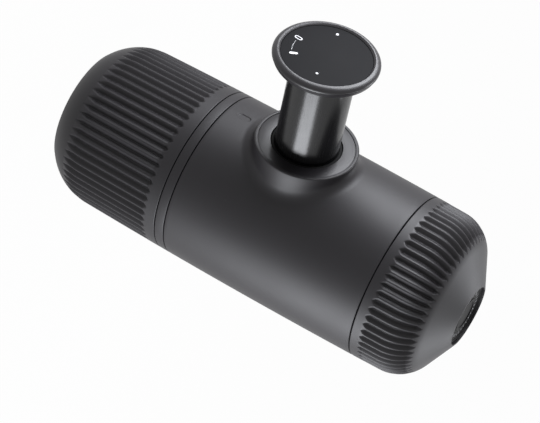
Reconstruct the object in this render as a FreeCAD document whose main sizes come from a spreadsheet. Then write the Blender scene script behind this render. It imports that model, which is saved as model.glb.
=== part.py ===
import FreeCAD, Part
import math
import os
import Sketcher

# Handheld espresso maker, in millimetres. It stands on its cup: the origin is the centre of the
# cup's flat base, +Z runs from the cup to the water tank, and the plunger comes out towards -Y.

SIZES = {
    # heights, stacked from the base
    "cup_height": (48.8, "cup, base to the middle of its seam"),
    "ring_height": (3.8, "visible ring of the portafilter, seam to seam"),
    "housing_height": (75.1, "main housing, seam to seam"),
    "tank_height": (28.3, "water tank above its seam"),
    "seam": (0.15, "half of a visible seam's gap"),
    # barrel
    "barrel_radius": (31.0, "largest radius of the body"),
    "barrel_sweep": (2652.0, "radius of the barrel's long curve"),
    "barrel_crest": (76.5, "height of the largest radius"),
    "housing_wall": (2.6, "wall of the housing shell"),
    # cup
    "cup_wall": (1.8, "cup wall"),
    "cup_floor": (2.4, "cup floor"),
    "cup_corner": (20.9, "radius of the cup's lower corner"),
    "cup_shoulder": (16.4, "height where the corner meets the barrel"),
    "cup_rim": (2.1, "wall at the cup's mouth"),
    "mouth_spare": (3.3, "straight part of the cup's mouth below the portafilter's skirt"),
    "foot_bevel": (0.4, "height of the bevel round the cup's foot"),
    "foot_land": (1.07, "width of that bevel"),
    # fluted grips
    "flute_count": (60, "flutes round the cup and round the tank"),
    "flute_radius": (1.3, "radius of a flute's round bottom"),
    "flute_depth": (0.6, "depth of a flute"),
    "cup_flute_band": (4.2, "plain band between the cup's flutes and its seam"),
    "cup_flute_phase": (2.0, "turn of the cup's first flute, in degrees"),
    "tank_flute_band": (3.1, "plain band between the tank's flutes and its seam"),
    "tank_flute_phase": (4.7, "turn of the tank's first flute, in degrees"),
    # portafilter
    "skirt_play": (0.5, "gap between the cup's mouth and the portafilter's skirt"),
    "neck_depth": (11.0, "skirt below the ring"),
    "grip_groove": (1.0, "depth of the grip ring's groove, and half its width"),
    "thread_height": (8.5, "threaded collar above the ring"),
    "thread_wall": (3.6, "wall of that collar round the basket's rim"),
    "bowl_wall": (2.0, "wall of the bowl"),
    "rim_ledge": (0.7, "ledge under the basket's rim"),
    "rim_seat": (1.2, "depth of the basket rim's seat"),
    "basket_room": (0.7, "space round the filter basket"),
    "basket_drop": (1.55, "space below the filter basket"),
    "basket_depth": (13.6, "inner depth of the filter basket"),
    "basket_wall": (0.5, "sheet of basket and screen"),
    "hole_radius": (0.9, "water holes in basket and screen"),
    "gasket_height": (1.6, "height left for the portafilter's gasket"),
    "spout_length": (10.6, "spout below the bowl"),
    "spout_flange": (2.2, "how far the spout's flange stands out"),
    "spout_wall": (1.6, "wall of the spout"),
    "spout_hole": (1.7, "outlet hole"),
    "crema_overlap": (1.7, "disc of the crema valve, outside its port"),
    "crema_room": (1.8, "space round that disc"),
    # sockets in the housing
    "thread_play": (0.4, "play between a threaded collar and its socket"),
    "group_wall": (1.95, "wall of the group head's socket"),
    "group_floor": (3.6, "thickness of the group head's plate"),
    "screen_drop": (1.0, "height of the boss that carries the screen"),
    "boss_radius": (4.0, "boss under the group head"),
    "screen_screw_radius": (2.6, "head of the screen's screw"),
    "screen_screw_head": (0.7, "height of that head"),
    "socket_wall": (0.95, "wall of the tank's socket"),
    "socket_floor": (2.4, "thickness of the tank socket's plate"),
    "socket_depth": (15.7, "underside of that plate below the housing's upper seam"),
    "post_radius": (2.4, "radius of a frame post"),
    "post_gap": (0.6, "gap between the bayonet cage and a frame post"),
    "post_offset": (10.5, "frame posts in front of and behind the barrel's axis"),
    "screw_radius": (2.2, "head of a frame screw"),
    "screw_head": (1.3, "height of that head"),
    # tank
    "neck_wall": (1.6, "wall of the tank's neck"),
    "neck_height": (8.0, "space between the tank's neck and its skirt, above the seam"),
    "tank_rim_gap": (2.2, "height left for the tank's seal"),
    "seal_lip": (1.2, "how far that seal stands into the bore"),
    "tank_wall": (1.8, "outer wall of the tank"),
    "shoulder_rise": (10.3, "start of the dome above the seam"),
    "tank_corner": (13.74, "radius of the dome's corner"),
    "tank_slope": (27.0, "slope of the dome, in degrees"),
    "tank_end_radius": (11.5, "flat end of the tank"),
    "tank_end_depth": (1.9, "recess in the end"),
    "tank_end_rim": (0.5, "rim round that recess"),
    "tank_roof": (2.6, "wall at the dome"),
    "end_disc": (1.0, "thickness of the disc in the end"),
    # plunger collar on the housing
    "lip_height": (4.4, "collar's lip above the barrel's largest radius"),
    "lip_wall": (1.2, "wall of the collar round its plate"),
    "lip_blend": (3.6, "fillet where the collar meets the barrel"),
    "lip_round": (0.5, "rounded edge of the lip"),
    "plate_sink": (0.2, "how deep the collar plate lies below the lip"),
    "plate_step": (0.9, "seat of the plate, outside the bush's"),
    "plate_thickness": (1.8, "collar plate"),
    "wiper_wall": (1.2, "wall of the wiper ring round the sleeve"),
    "wiper_thickness": (1.2, "flange of the wiper under the plate"),
    "wiper_sink": (0.3, "how deep the wiper's end lies below the plate"),
    "wiper_bevel": (0.4, "bevel of the wiper's lip"),
    "bush_step": (1.0, "ledge behind the guide bush"),
    "bush_length": (2.7, "guide bush"),
    "lug_clearance": (0.6, "gap between the lugs and the bore that lets them through"),
    # sleeve and knob
    "sleeve_play": (0.55, "gap between the pump cylinder and the sleeve"),
    "sleeve_wall": (1.4, "wall of the sleeve"),
    "sleeve_cover": (0.6, "knob material between the sleeve's end and the face"),
    "flange_step": (1.35, "flange at the sleeve's inner end, outside the sleeve"),
    "flange_thickness": (2.0, "flange and lugs"),
    "lug_height": (1.8, "lugs, outside the flange"),
    "lug_width": (6.0, "width of a lug"),
    "knob_rest": (0.8, "gap between the locked knob and the collar's lip"),
    "knob_hollow": (2.35, "hollow under the knob, outside the sleeve"),
    "knob_hollow_depth": (1.6, "depth of that hollow"),
    "knob_foot": (3.6, "underside of the knob round its hollow"),
    "knob_flare": (1.05, "largest radius of the knob, outside its underside"),
    "knob_rim": (2.75, "width of the knob's rim"),
    "knob_edge": (1.2, "rounded edge of the knob's rim"),
    "knob_swell": (0.5, "how far the middle of the knob's side lies inside its largest radius"),
    "knob_sink": (0.7, "how deep the face lies below the rim"),
    "knob_face_thickness": (0.9, "inset disc"),
    "plunger_stroke": (34.0, "travel of the plunger"),
    "lock_turn": (45.0, "turn that locks the knob, in degrees"),
    # pump
    "pump_bore": (6.5, "bore of the pump"),
    "pump_wall": (2.6, "wall of the pump cylinder"),
    "pump_clearance": (3.2, "gap between the pump gland and the locked knob"),
    "pump_web": (0.9, "wall between the pump's bore and the valve column"),
    "seat_step": (0.8, "seat of the return spring behind the end of the bore"),
    "seat_thickness": (2.2, "flange behind the spring"),
    "cage_play": (0.4, "gap between the sleeve's flange and the bayonet cage"),
    "cage_wall": (2.4, "wall of the bayonet cage"),
    "cage_lip": (3.9, "cage in front of its locking slots"),
    "cage_room": (3.25, "space between the cage and the group head"),
    "lug_play": (0.4, "play round a locked lug"),
    "lug_side_play": (0.7, "play beside a lug in its entry"),
    "lug_swing": (16.0, "extra angle of the locking slot, in degrees"),
    "column_wall": (1.5, "wall of the valve column"),
    "port_radius": (1.9, "water ports"),
    "inlet_chamber": (12.0, "depth of the inlet chamber"),
    "outlet_chamber": (11.8, "depth of the outlet chamber"),
    "seat_height": (3.0, "seat of the inlet valve"),
    "plug_height": (2.4, "plug under the outlet valve"),
    "valve_overlap": (1.1, "valve disc, outside its port"),
    "valve_room": (0.9, "space round a valve disc"),
    "valve_disc": (1.25, "thickness of a valve disc"),
    "valve_play": (0.15, "gap between a closed valve and its seat"),
    "stem_radius": (1.0, "stem of a valve"),
    "stem_length": (2.0, "stem inside a valve's spring"),
    "strainer_overlap": (1.3, "strainer, outside the inlet"),
    "strainer_gap": (0.5, "gap between the strainer and the tank's seal"),
    "rod_radius": (3.2, "plunger rod"),
    "rod_screw_radius": (3.4, "head of the screw that holds knob and rod together"),
    "rod_screw_head": (0.8, "height of that head"),
    "rod_screw_shank": (1.5, "shank of that screw"),
    "screw_web": (1.0, "knob material under that screw's head"),
    "head_play": (0.3, "gap between the plunger head and the pump's bore"),
    "head_land": (0.85, "plunger head on each side of the seal's groove"),
    "head_gap": (0.7, "gap between the pressed head and the end of the bore"),
    "groove_depth": (1.3, "depth of the seal's groove"),
    "seal_width": (2.2, "width of the plunger seal"),
    "seal_bevel": (0.6, "bevel of the plunger seal"),
    "gland_thickness": (2.0, "pump gland"),
    "washer_thickness": (0.6, "washer between sleeve and spring"),
    "spring_room": (1.15, "space between the pump cylinder and the return spring"),
    "spring_wire": (1.3, "wire of the return spring"),
    "spring_turns": (5.0, "turns of the return spring"),
    "valve_spring_room": (0.75, "space between a valve's stem and its spring"),
    "valve_spring_wire": (0.5, "wire of a valve's spring"),
    "valve_spring_turns": (3.0, "turns of a valve's spring"),
    # general fits
    "running_fit": (0.06, "radial play of a part that slides or turns"),
    "close_fit": (0.05, "radial gap of a part that is fixed in its seat"),
    "body_gap": (0.3, "gap between parts that move past each other"),
}

document = FreeCAD.newDocument("EspressoMaker")
sheet = document.addObject("Spreadsheet::Sheet", "Sizes")
for row, (alias, (number, note)) in enumerate(SIZES.items(), start=1):
    sheet.set(f"A{row}", note)
    sheet.set(f"B{row}", str(number))
    sheet.setAlias(f"B{row}", alias)
document.recompute()

PIECES = []


class Size:
    """A length that carries its number and the sheet expression that gives it."""

    def __init__(self, value, text):
        self.value = value
        self.text = text

    @staticmethod
    def of(other):
        return other if isinstance(other, Size) else Size(float(other), f"({float(other)})")

    def __add__(self, other):
        other = Size.of(other)
        return Size(self.value + other.value, f"({self.text} + {other.text})")

    def __sub__(self, other):
        other = Size.of(other)
        return Size(self.value - other.value, f"({self.text} - {other.text})")

    def __mul__(self, other):
        other = Size.of(other)
        return Size(self.value * other.value, f"({self.text} * {other.text})")

    def __truediv__(self, other):
        other = Size.of(other)
        return Size(self.value / other.value, f"({self.text} / {other.text})")

    def __radd__(self, other):
        return Size.of(other) + self

    def __rsub__(self, other):
        return Size.of(other) - self

    def __rmul__(self, other):
        return Size.of(other) * self

    def __neg__(self):
        return Size(-self.value, f"(-{self.text})")


def size(alias):
    return Size(float(SIZES[alias][0]), f"Sizes.{alias}")


def root(number):
    return Size(math.sqrt(number.value), f"sqrt({number.text})")


def leg(slant, side):
    """The third side of a right triangle, from its slant and one leg."""
    return root(slant * slant - side * side)


def sine(degrees):
    degrees = Size.of(degrees)
    return Size(math.sin(math.radians(degrees.value)), f"sin({degrees.text})")


def cosine(degrees):
    degrees = Size.of(degrees)
    return Size(math.cos(math.radians(degrees.value)), f"cos({degrees.text})")


def arctangent(number):
    return Size(math.degrees(math.atan(number.value)), f"atan({number.text})")


def least(first, second):
    return Size(min(first.value, second.value), f"min({first.text}; {second.text})")


def bind(item, path, length):
    item.setExpression(path, Size.of(length).text)


# Places that several pieces share.

SEAM = size("seam")
GAP = size("body_gap")
FIT = size("running_fit")
CLOSE = size("close_fit")
PAST = 1.0  # how far a cutter runs past what it cuts, and a joined piece into its neighbour

# Radii round the barrel's axis, each inside the one before.

HOUSING_BORE = size("barrel_radius") - size("housing_wall")
CUP_MOUTH = size("barrel_radius") - size("cup_rim")
NECK = CUP_MOUTH - size("skirt_play")
SOCKET = HOUSING_BORE - CLOSE
THREAD = SOCKET - size("group_wall") - size("thread_play")
BASKET_RIM = THREAD - size("thread_wall") - 2 * CLOSE
BOWL = BASKET_RIM - size("rim_ledge")
BASKET = BOWL - size("basket_room") - size("basket_wall")
TANK_NECK = SOCKET - size("socket_wall") - size("thread_play")
TANK_BORE = TANK_NECK - size("neck_wall")
SEAL_BORE = TANK_BORE - size("seal_lip")

# Radii round the plunger's axis, each outside the one before.

PUMP = size("pump_bore") + size("pump_wall")
SLEEVE_BORE = PUMP + size("sleeve_play")
SLEEVE = SLEEVE_BORE + size("sleeve_wall")
FLANGE = SLEEVE + size("flange_step")
LUGS = FLANGE + size("lug_height")
LUG_BORE = LUGS + size("lug_clearance")
BUSH = LUG_BORE + size("bush_step")
PLATE = BUSH + size("plate_step")
LIP = PLATE + size("lip_wall")
CAGE_BORE = FLANGE + size("cage_play")
CAGE = CAGE_BORE + size("cage_wall")
WIPER = SLEEVE + size("wiper_wall")
KNOB_HOLLOW = SLEEVE + size("knob_hollow")
KNOB_FOOT = KNOB_HOLLOW + size("knob_foot")
KNOB = KNOB_FOOT + size("knob_flare")
KNOB_RIM = KNOB - size("knob_rim")

# Radii round the valve column's axis.

PORT = size("port_radius")
VALVE = PORT + size("valve_overlap")
CHAMBER = VALVE + size("valve_room")
COLUMN_RADIUS = CHAMBER + size("column_wall")
STRAINER = PORT + size("strainer_overlap")
CREMA = PORT + size("crema_overlap")
SPOUT = CREMA + size("crema_room") + size("spout_wall")

# Heights.

CUP_TOP = size("cup_height")
RING_TOP = CUP_TOP + size("ring_height")
HOUSING_TOP = RING_TOP + size("housing_height")
TANK_TOP = HOUSING_TOP + size("tank_height")
SKIRT_LOW = CUP_TOP + SEAM - size("neck_depth")
THREAD_TOP = RING_TOP - SEAM + size("thread_height")
RIM_SEAT = THREAD_TOP - size("rim_seat")
BOWL_FLOOR = RIM_SEAT - size("basket_depth") - size("basket_drop") - size("bowl_wall")
GROUP_UNDERSIDE = THREAD_TOP + size("gasket_height")
SCREEN_TOP = GROUP_UNDERSIDE - size("screen_drop")
GROUP_TOP = GROUP_UNDERSIDE + size("group_floor")
PISTON_HEIGHT = GROUP_TOP + size("cage_room") + CAGE
OUTLET_PORT = GROUP_TOP + size("outlet_chamber")
SOCKET_FLOOR = HOUSING_TOP - size("socket_depth")
SOCKET_FLOOR_TOP = SOCKET_FLOOR + size("socket_floor")
TANK_RIM = SOCKET_FLOOR_TOP + size("tank_rim_gap")
SHOULDER = HOUSING_TOP + size("shoulder_rise")

# Places along the plunger's axis, outwards from the barrel's axis, plunger out.

STROKE = size("plunger_stroke")
LIP_REACH = size("barrel_radius") + size("lip_height")
PLATE_FRONT = LIP_REACH - size("plate_sink")
PLATE_BACK = PLATE_FRONT - size("plate_thickness")
WIPER_FRONT = PLATE_FRONT - size("wiper_sink")
WIPER_BACK = PLATE_BACK - size("wiper_thickness")
BUSH_BACK = WIPER_BACK - size("bush_length")
FLANGE_FRONT = BUSH_BACK - GAP
FLANGE_BACK = FLANGE_FRONT - size("flange_thickness")
WASHER_BACK = FLANGE_BACK - size("washer_thickness")
KNOB_BACK = LIP_REACH + size("knob_rest") + STROKE
KNOB_HOLLOW_TOP = KNOB_BACK + size("knob_hollow_depth")
SCREW_SEAT = KNOB_BACK + size("screw_web")
FACE_BACK = SCREW_SEAT + size("rod_screw_head") + 2 * GAP
FACE_FRONT = FACE_BACK + size("knob_face_thickness")
KNOB_TOP = FACE_FRONT + size("knob_sink")
PUMP_MOUTH = KNOB_BACK - STROKE - size("pump_clearance") - size("gland_thickness")

# Places along the same axis, inwards.

COLUMN = SEAL_BORE - size("strainer_gap") - STRAINER
PUMP_END = COLUMN - COLUMN_RADIUS - size("pump_web")
SPRING_SEAT = PUMP_END + size("seat_step")
SLOT_FRONT = STROKE - FLANGE_FRONT - size("lug_play")
SLOT_BACK = STROKE - FLANGE_BACK + size("lug_play")
CAGE_MOUTH = SLOT_FRONT - size("cage_lip")
HEAD_FRONT = STROKE - PUMP_END + size("head_gap")
HEAD_BACK = HEAD_FRONT + size("seal_width") + 4 * CLOSE + 2 * size("head_land")


def barrel(height):
    """Radius of the barrel's long curve at a height."""
    drop = Size.of(height) - size("barrel_crest")
    return size("barrel_radius") - drop * drop / (2 * size("barrel_sweep"))


# Drawing tools.


def flat(point):
    return FreeCAD.Vector(point[0].value, point[1].value, 0)


def arc_between(start, bend, finish):
    """The arc from start through bend to finish, and whether it runs counter-clockwise."""
    curve = Part.ArcOfCircle(flat(start), flat(bend), flat(finish))
    centre = curve.Center
    along = curve.Axis.z > 0
    first, last = (flat(start), flat(finish)) if along else (flat(finish), flat(start))
    begin = math.atan2(first.y - centre.y, first.x - centre.x)
    end = math.atan2(last.y - centre.y, last.x - centre.x)
    if end < begin:
        end += 2 * math.pi
    circle = Part.Circle(centre, FreeCAD.Vector(0, 0, 1), curve.Radius)
    return Part.ArcOfCircle(circle, begin, end), along


def pin(sketch, number, end, point, tag):
    """Hold one point of the sketch at the place that its two sizes give."""
    for kind, name, length in (("DistanceX", "across", point[0]), ("DistanceY", "along", point[1])):
        index = sketch.addConstraint(Sketcher.Constraint(kind, -1, 1, number, end, length.value))
        sketch.renameConstraint(index, f"{name}_{tag}")
        bind(sketch, f"Constraints.{name}_{tag}", length)


def draw(sketch, path):
    """Draw a closed outline. A pair is a corner; ("via", across, along) bends the line to an arc."""
    corners = []
    bends = {}
    for point in path:
        if point[0] == "via":
            bends[len(corners) - 1] = (Size.of(point[1]), Size.of(point[2]))
        else:
            corners.append((Size.of(point[0]), Size.of(point[1])))
    ends = []
    for index, start in enumerate(corners):
        finish = corners[(index + 1) % len(corners)]
        if index in bends:
            curve, along = arc_between(start, bends[index], finish)
            number = sketch.addGeometry(curve, False)
            ends.append((number, 1, 2) if along else (number, 2, 1))
        else:
            line = Part.LineSegment(flat(start), flat(finish))
            ends.append((sketch.addGeometry(line, False), 1, 2))
    for index, (number, first, last) in enumerate(ends):
        following = ends[(index + 1) % len(ends)]
        sketch.addConstraint(Sketcher.Constraint("Coincident", number, last, following[0], following[1]))
        pin(sketch, number, first, corners[index], f"corner{index}")
    for index, bend in bends.items():
        mark = sketch.addGeometry(Part.Point(flat(bend)), True)
        sketch.addConstraint(Sketcher.Constraint("PointOnObject", mark, 1, ends[index][0]))
        pin(sketch, mark, 1, bend, f"bend{index}")


def draw_circle(sketch, centre, radius):
    centre = (Size.of(centre[0]), Size.of(centre[1]))
    number = sketch.addGeometry(
        Part.Circle(flat(centre), FreeCAD.Vector(0, 0, 1), radius.value), False
    )
    pin(sketch, number, 3, centre, f"centre{number}")
    index = sketch.addConstraint(Sketcher.Constraint("Radius", number, radius.value))
    sketch.renameConstraint(index, f"radius_{number}")
    bind(sketch, f"Constraints.radius_{number}", radius)


def sketch_on(body, name, role):
    sketch = body.newObject("Sketcher::SketchObject", name)
    plane = next(item for item in body.Origin.OriginFeatures if item.Role == role)
    sketch.AttachmentSupport = [(plane, "")]
    sketch.MapMode = "FlatFace"
    return sketch


def place(item, x=0, y=0, z=0):
    for axis, length in (("x", x), ("y", y), ("z", z)):
        bind(item, f"Placement.Base.{axis}", length)


def turn(body, name, path, along="Z", cut=False, height=None):
    """Add to body, or cut from it, the ring that the outline makes round the body's axis."""
    sketch = sketch_on(body, f"{name}_outline", "XZ_Plane" if along == "Z" else "XY_Plane")
    if height is not None:
        bind(sketch, "AttachmentOffset.Base.z", height)
    draw(sketch, path)
    document.recompute()
    ring = body.newObject("PartDesign::Groove" if cut else "PartDesign::Revolution", name)
    ring.Profile = sketch
    ring.ReferenceAxis = (sketch, ["V_Axis"])
    ring.Angle = 360
    return ring


def keep(label, item):
    item.Label = label
    PIECES.append(item)
    return item


def turned(label, path, along="Z", y=0, working=False):
    """A piece turned round the barrel's axis, or round the plunger's axis when along is Y."""
    body = document.addObject("PartDesign::Body", label)
    turn(body, f"{label}_turn", path, along)
    place(body, y=y, z=PISTON_HEIGHT if along == "Y" else 0)
    return body if working else keep(label, body)


def ring_path(inner, outer, low, high):
    return [(inner, low), (outer, low), (outer, high), (inner, high)]


def disc_path(radius, low, high):
    return [(0, low), (radius, low), (radius, high), (0, high)]


def cylinder(name, radius, length, x=0, y=0, z=0, along="Z"):
    item = document.addObject("Part::Cylinder", name)
    bind(item, "Radius", radius)
    bind(item, "Height", length)
    if along == "Y":
        item.Placement = FreeCAD.Placement(
            FreeCAD.Vector(), FreeCAD.Rotation(FreeCAD.Vector(1, 0, 0), -90)
        )
    place(item, x, y, z)
    return item


def drill(name, radius, low, high, x, y, blind=""):
    """An upright cutter that runs past both of its heights, or stops at the blind one."""
    start = low if blind == "low" else low - PAST
    finish = high if blind == "high" else high + PAST
    return cylinder(name, radius, finish - start, x, y, start)


def block(name, low, lengths):
    item = document.addObject("Part::Box", name)
    for side, length in zip(("Length", "Width", "Height"), lengths):
        bind(item, side, length)
    place(item, *low)
    return item


def joined(name, items):
    union = document.addObject("Part::MultiFuse", name)
    union.Shapes = items
    return union


def without(name, base, tools):
    """The base less its tools."""
    difference = document.addObject("Part::Cut", name)
    difference.Base = base
    difference.Tool = tools[0] if len(tools) == 1 else joined(f"{name}_tools", tools)
    return difference


def flutes(body, name, end, shoulder, far, phase):
    """A ring of round-bottomed flutes along the barrel, cut from the body's end as far as far.

    Each follows the barrel's slight lean and runs out where the end's corner falls away from it.
    """
    radius = size("flute_radius")
    sign = 1 if far.value > shoulder.value else -1
    lean = (barrel(far) - barrel(shoulder)) / (far - shoulder)
    reach = barrel(shoulder) - size("flute_depth") + radius + lean * (end - shoulder)
    sketch = sketch_on(body, f"{name}_section", "XY_Plane")
    bind(sketch, "AttachmentOffset.Base.z", end)
    bind(sketch, "AttachmentOffset.Rotation.Axis.x", -sine(phase))
    bind(sketch, "AttachmentOffset.Rotation.Axis.y", cosine(phase))
    bind(sketch, "AttachmentOffset.Rotation.Axis.z", 0)
    bind(sketch, "AttachmentOffset.Rotation.Angle", arctangent(lean))
    draw_circle(sketch, (reach * cosine(phase), reach * sine(phase)), radius)
    document.recompute()
    groove = body.newObject("PartDesign::Pocket", name)
    groove.Profile = sketch
    groove.Reversed = sign > 0
    bind(groove, "Length", sign * (far - end + reach * lean))
    document.recompute()
    ring = body.newObject("PartDesign::PolarPattern", f"{name}_ring")
    ring.Originals = [groove]
    ring.Axis = (next(item for item in body.Origin.OriginFeatures if item.Role == "Z_Axis"), [""])
    ring.Angle = 360
    bind(ring, "Occurrences", size("flute_count"))
    body.Tip = ring


# Cup.


def drinking_cup():
    top = CUP_TOP - SEAM
    shoulder = size("cup_shoulder")
    corner = size("cup_corner")
    wall = size("cup_wall")
    floor = size("cup_floor")
    bevel = size("foot_bevel")
    centre = barrel(shoulder) - corner
    foot_edge = centre + leg(corner, shoulder - bevel)
    inner = corner - wall
    well = floor + 2 * bevel
    well_edge = centre + leg(inner, shoulder - well)
    middle = (shoulder + top) / 2
    bend = 25  # degrees below the shoulder, near the middle of both arcs
    body = turned("drinking_cup", [
        (0, 0), (foot_edge - size("foot_land"), 0), (foot_edge, bevel),
        ("via", centre + corner * cosine(bend), shoulder - corner * sine(bend)),
        (barrel(shoulder), shoulder), ("via", barrel(middle), middle),
        (barrel(top), top), (CUP_MOUTH, top), (CUP_MOUTH, SKIRT_LOW - size("mouth_spare")),
        (barrel(shoulder) - wall, shoulder),
        ("via", centre + inner * cosine(bend), shoulder - inner * sine(bend)),
        (well_edge, well), (well_edge - 4 * bevel, floor), (0, floor),
    ])
    flutes(body, "cup_flutes", Size.of(0), shoulder, top - size("cup_flute_band"), size("cup_flute_phase"))


# Portafilter and what it carries.


def portafilter_body():
    low = CUP_TOP + SEAM
    high = RING_TOP - SEAM
    wall = size("bowl_wall")
    depth = size("grip_groove")
    groove = (low + SKIRT_LOW) / 2
    seat = BASKET_RIM + 2 * CLOSE
    turned("portafilter_body", [
        (PORT, BOWL_FLOOR), (BOWL + wall, BOWL_FLOOR), (BOWL + wall, low), (NECK - wall, low),
        (NECK - wall, SKIRT_LOW), (NECK, SKIRT_LOW), (NECK, groove - depth), (NECK - depth, groove - depth),
        (NECK - depth, groove + depth), (NECK, groove + depth), (NECK, low),
        (barrel(low), low), (barrel(high), high), (THREAD, high), (THREAD, THREAD_TOP),
        (seat, THREAD_TOP), (seat, RIM_SEAT), (BOWL, RIM_SEAT), (BOWL, BOWL_FLOOR + wall),
        (PORT, BOWL_FLOOR + wall),
    ])
    inner = NECK - depth + CLOSE
    outer = CUP_MOUTH - FIT
    turned("cup_grip_ring", [
        (inner, groove - 0.7 * depth), (outer - depth / 2, groove - 0.7 * depth),
        (outer, groove - depth / 4), (outer, groove + depth / 4),
        (outer - depth / 2, groove + 0.7 * depth), (inner, groove + 0.7 * depth),
    ])


def filter_basket():
    wall = size("basket_wall")
    top = RIM_SEAT + wall
    floor = top - size("basket_depth") - wall
    shell = turned("basket_shell", [
        (0, floor), (BASKET + wall, floor), (BASKET + wall, RIM_SEAT), (BASKET_RIM, RIM_SEAT),
        (BASKET_RIM, top), (BASKET, top), (BASKET, floor + wall), (0, floor + wall),
    ], working=True)
    holes = hole_rings("basket_hole", floor, floor + wall)
    keep("filter_basket", without("basket", shell, holes))


def hole_rings(name, low, high):
    """Cutters for two rings of six holes, as in a basket's floor or a shower screen."""
    holes = []
    for share, offset in ((1 / 3, 0), (2 / 3, 30)):
        reach = BASKET * share
        for angle in range(offset, offset + 360, 60):
            holes.append(drill(f"{name}_{len(holes)}", size("hole_radius"), low, high,
                               reach * cosine(angle), reach * sine(angle)))
    return holes


def spout():
    wall = size("spout_wall")
    flange = SPOUT + size("spout_flange")
    top = BOWL_FLOOR
    low = top - size("spout_length")
    hole = size("spout_hole")
    turned("spout", [
        (hole, low), (SPOUT - wall, low), (SPOUT, low + wall), (SPOUT, top - wall), (flange, top - wall),
        (flange, top), (SPOUT - wall, top), (SPOUT - wall, low + wall), (hole, low + wall),
    ])
    poppet("crema", CREMA, low + wall, top)


def poppet(name, radius, low, port):
    """A valve disc below its port, with a stem inside the spring that stands on low."""
    stem = size("stem_radius")
    face = port - size("valve_play")
    under = face - size("valve_disc")
    y = COLUMN if name == "outlet" else 0
    turned(f"{name}_valve", [
        (0, under - size("stem_length")), (stem, under - size("stem_length")), (stem, under),
        (radius, under), (radius, face), (0, face),
    ], y=y)
    wire = size("valve_spring_wire")
    middle = stem + size("valve_spring_room") + wire / 2
    coil(f"{name}_spring", middle, wire, size("valve_spring_turns"), low, under, y=y)


def coil(label, radius, wire, turns, low, high, along="Z", y=0):
    """A compression spring of square wire between two faces."""
    body = document.addObject("PartDesign::Body", label)
    sketch = sketch_on(body, f"{label}_wire", "XZ_Plane" if along == "Z" else "XY_Plane")
    draw(sketch, ring_path(radius - wire / 2, radius + wire / 2, low, low + wire))
    document.recompute()
    helix = body.newObject("PartDesign::AdditiveHelix", f"{label}_helix")
    helix.Profile = sketch
    helix.ReferenceAxis = (sketch, ["V_Axis"])
    helix.Mode = "height-turns-angle"
    bind(helix, "Height", high - low - wire)
    bind(helix, "Turns", turns)
    place(body, y=y, z=PISTON_HEIGHT if along == "Y" else 0)
    return keep(label, body)


def portafilter_gasket():
    play = size("valve_play")
    inner = BASKET_RIM + 2 * CLOSE + GAP
    outer = THREAD - 2 * CLOSE
    turned("portafilter_gasket", ring_path(inner, outer, THREAD_TOP + play, GROUP_UNDERSIDE - play))


# Inner frame.


def post_places():
    """Centres of the four frame posts, clear of the plunger's path."""
    across = CAGE + size("post_gap") + size("post_radius")
    along = size("post_offset")
    for side in (1, -1):
        for end in (1, -1):
            yield side * across, end * along


def group_head():
    inner = THREAD + size("thread_play")
    boss = size("boss_radius")
    low = RING_TOP + SEAM + GAP
    plate = turned("group_plate", [
        (0, SCREEN_TOP), (boss, SCREEN_TOP), (boss, GROUP_UNDERSIDE), (inner, GROUP_UNDERSIDE),
        (inner, low), (SOCKET, low), (SOCKET, GROUP_TOP), (0, GROUP_TOP),
    ], working=True)
    parts = [plate]
    for number, (x, y) in enumerate(post_places()):
        parts.append(cylinder(f"post_{number}", size("post_radius"), SOCKET_FLOOR - GROUP_TOP, x, y, GROUP_TOP))
    port = drill("group_port", PORT, GROUP_UNDERSIDE, GROUP_TOP, 0, COLUMN)
    keep("group_head", without("group", joined("group_parts", parts), [port]))


def shower_screen():
    wall = size("basket_wall")
    low = SCREEN_TOP - wall
    disc = turned("screen_disc", disc_path(BOWL, low, SCREEN_TOP), working=True)
    holes = hole_rings("screen_hole", low, SCREEN_TOP)
    keep("shower_screen", without("screen", disc, holes))
    turned("screen_screw", disc_path(size("screen_screw_radius"), low - size("screen_screw_head"), low))


def tank_socket():
    inner = TANK_NECK + size("thread_play")
    top = HOUSING_TOP - SEAM - GAP
    head = size("screw_radius")
    sink = SOCKET_FLOOR_TOP - size("screw_head") - 2 * CLOSE
    cup = turned("socket_cup", [
        (0, SOCKET_FLOOR), (SOCKET, SOCKET_FLOOR), (SOCKET, top), (inner, top),
        (inner, SOCKET_FLOOR_TOP), (0, SOCKET_FLOOR_TOP),
    ], working=True)
    tools = [drill("socket_port", PORT, SOCKET_FLOOR, SOCKET_FLOOR_TOP, 0, COLUMN)]
    heads = []
    for number, (x, y) in enumerate(post_places()):
        tools.append(cylinder(f"sink_{number}", head + 2 * CLOSE, SOCKET_FLOOR_TOP - sink + PAST, x, y, sink))
        heads.append(cylinder(f"screw_{number}", head, size("screw_head"), x, y, sink))
    keep("tank_socket", without("socket", cup, tools))
    screws = document.addObject("Part::Compound", "socket_screw_group")
    screws.Links = heads
    keep("socket_screws", screws)


# Housing.


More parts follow.
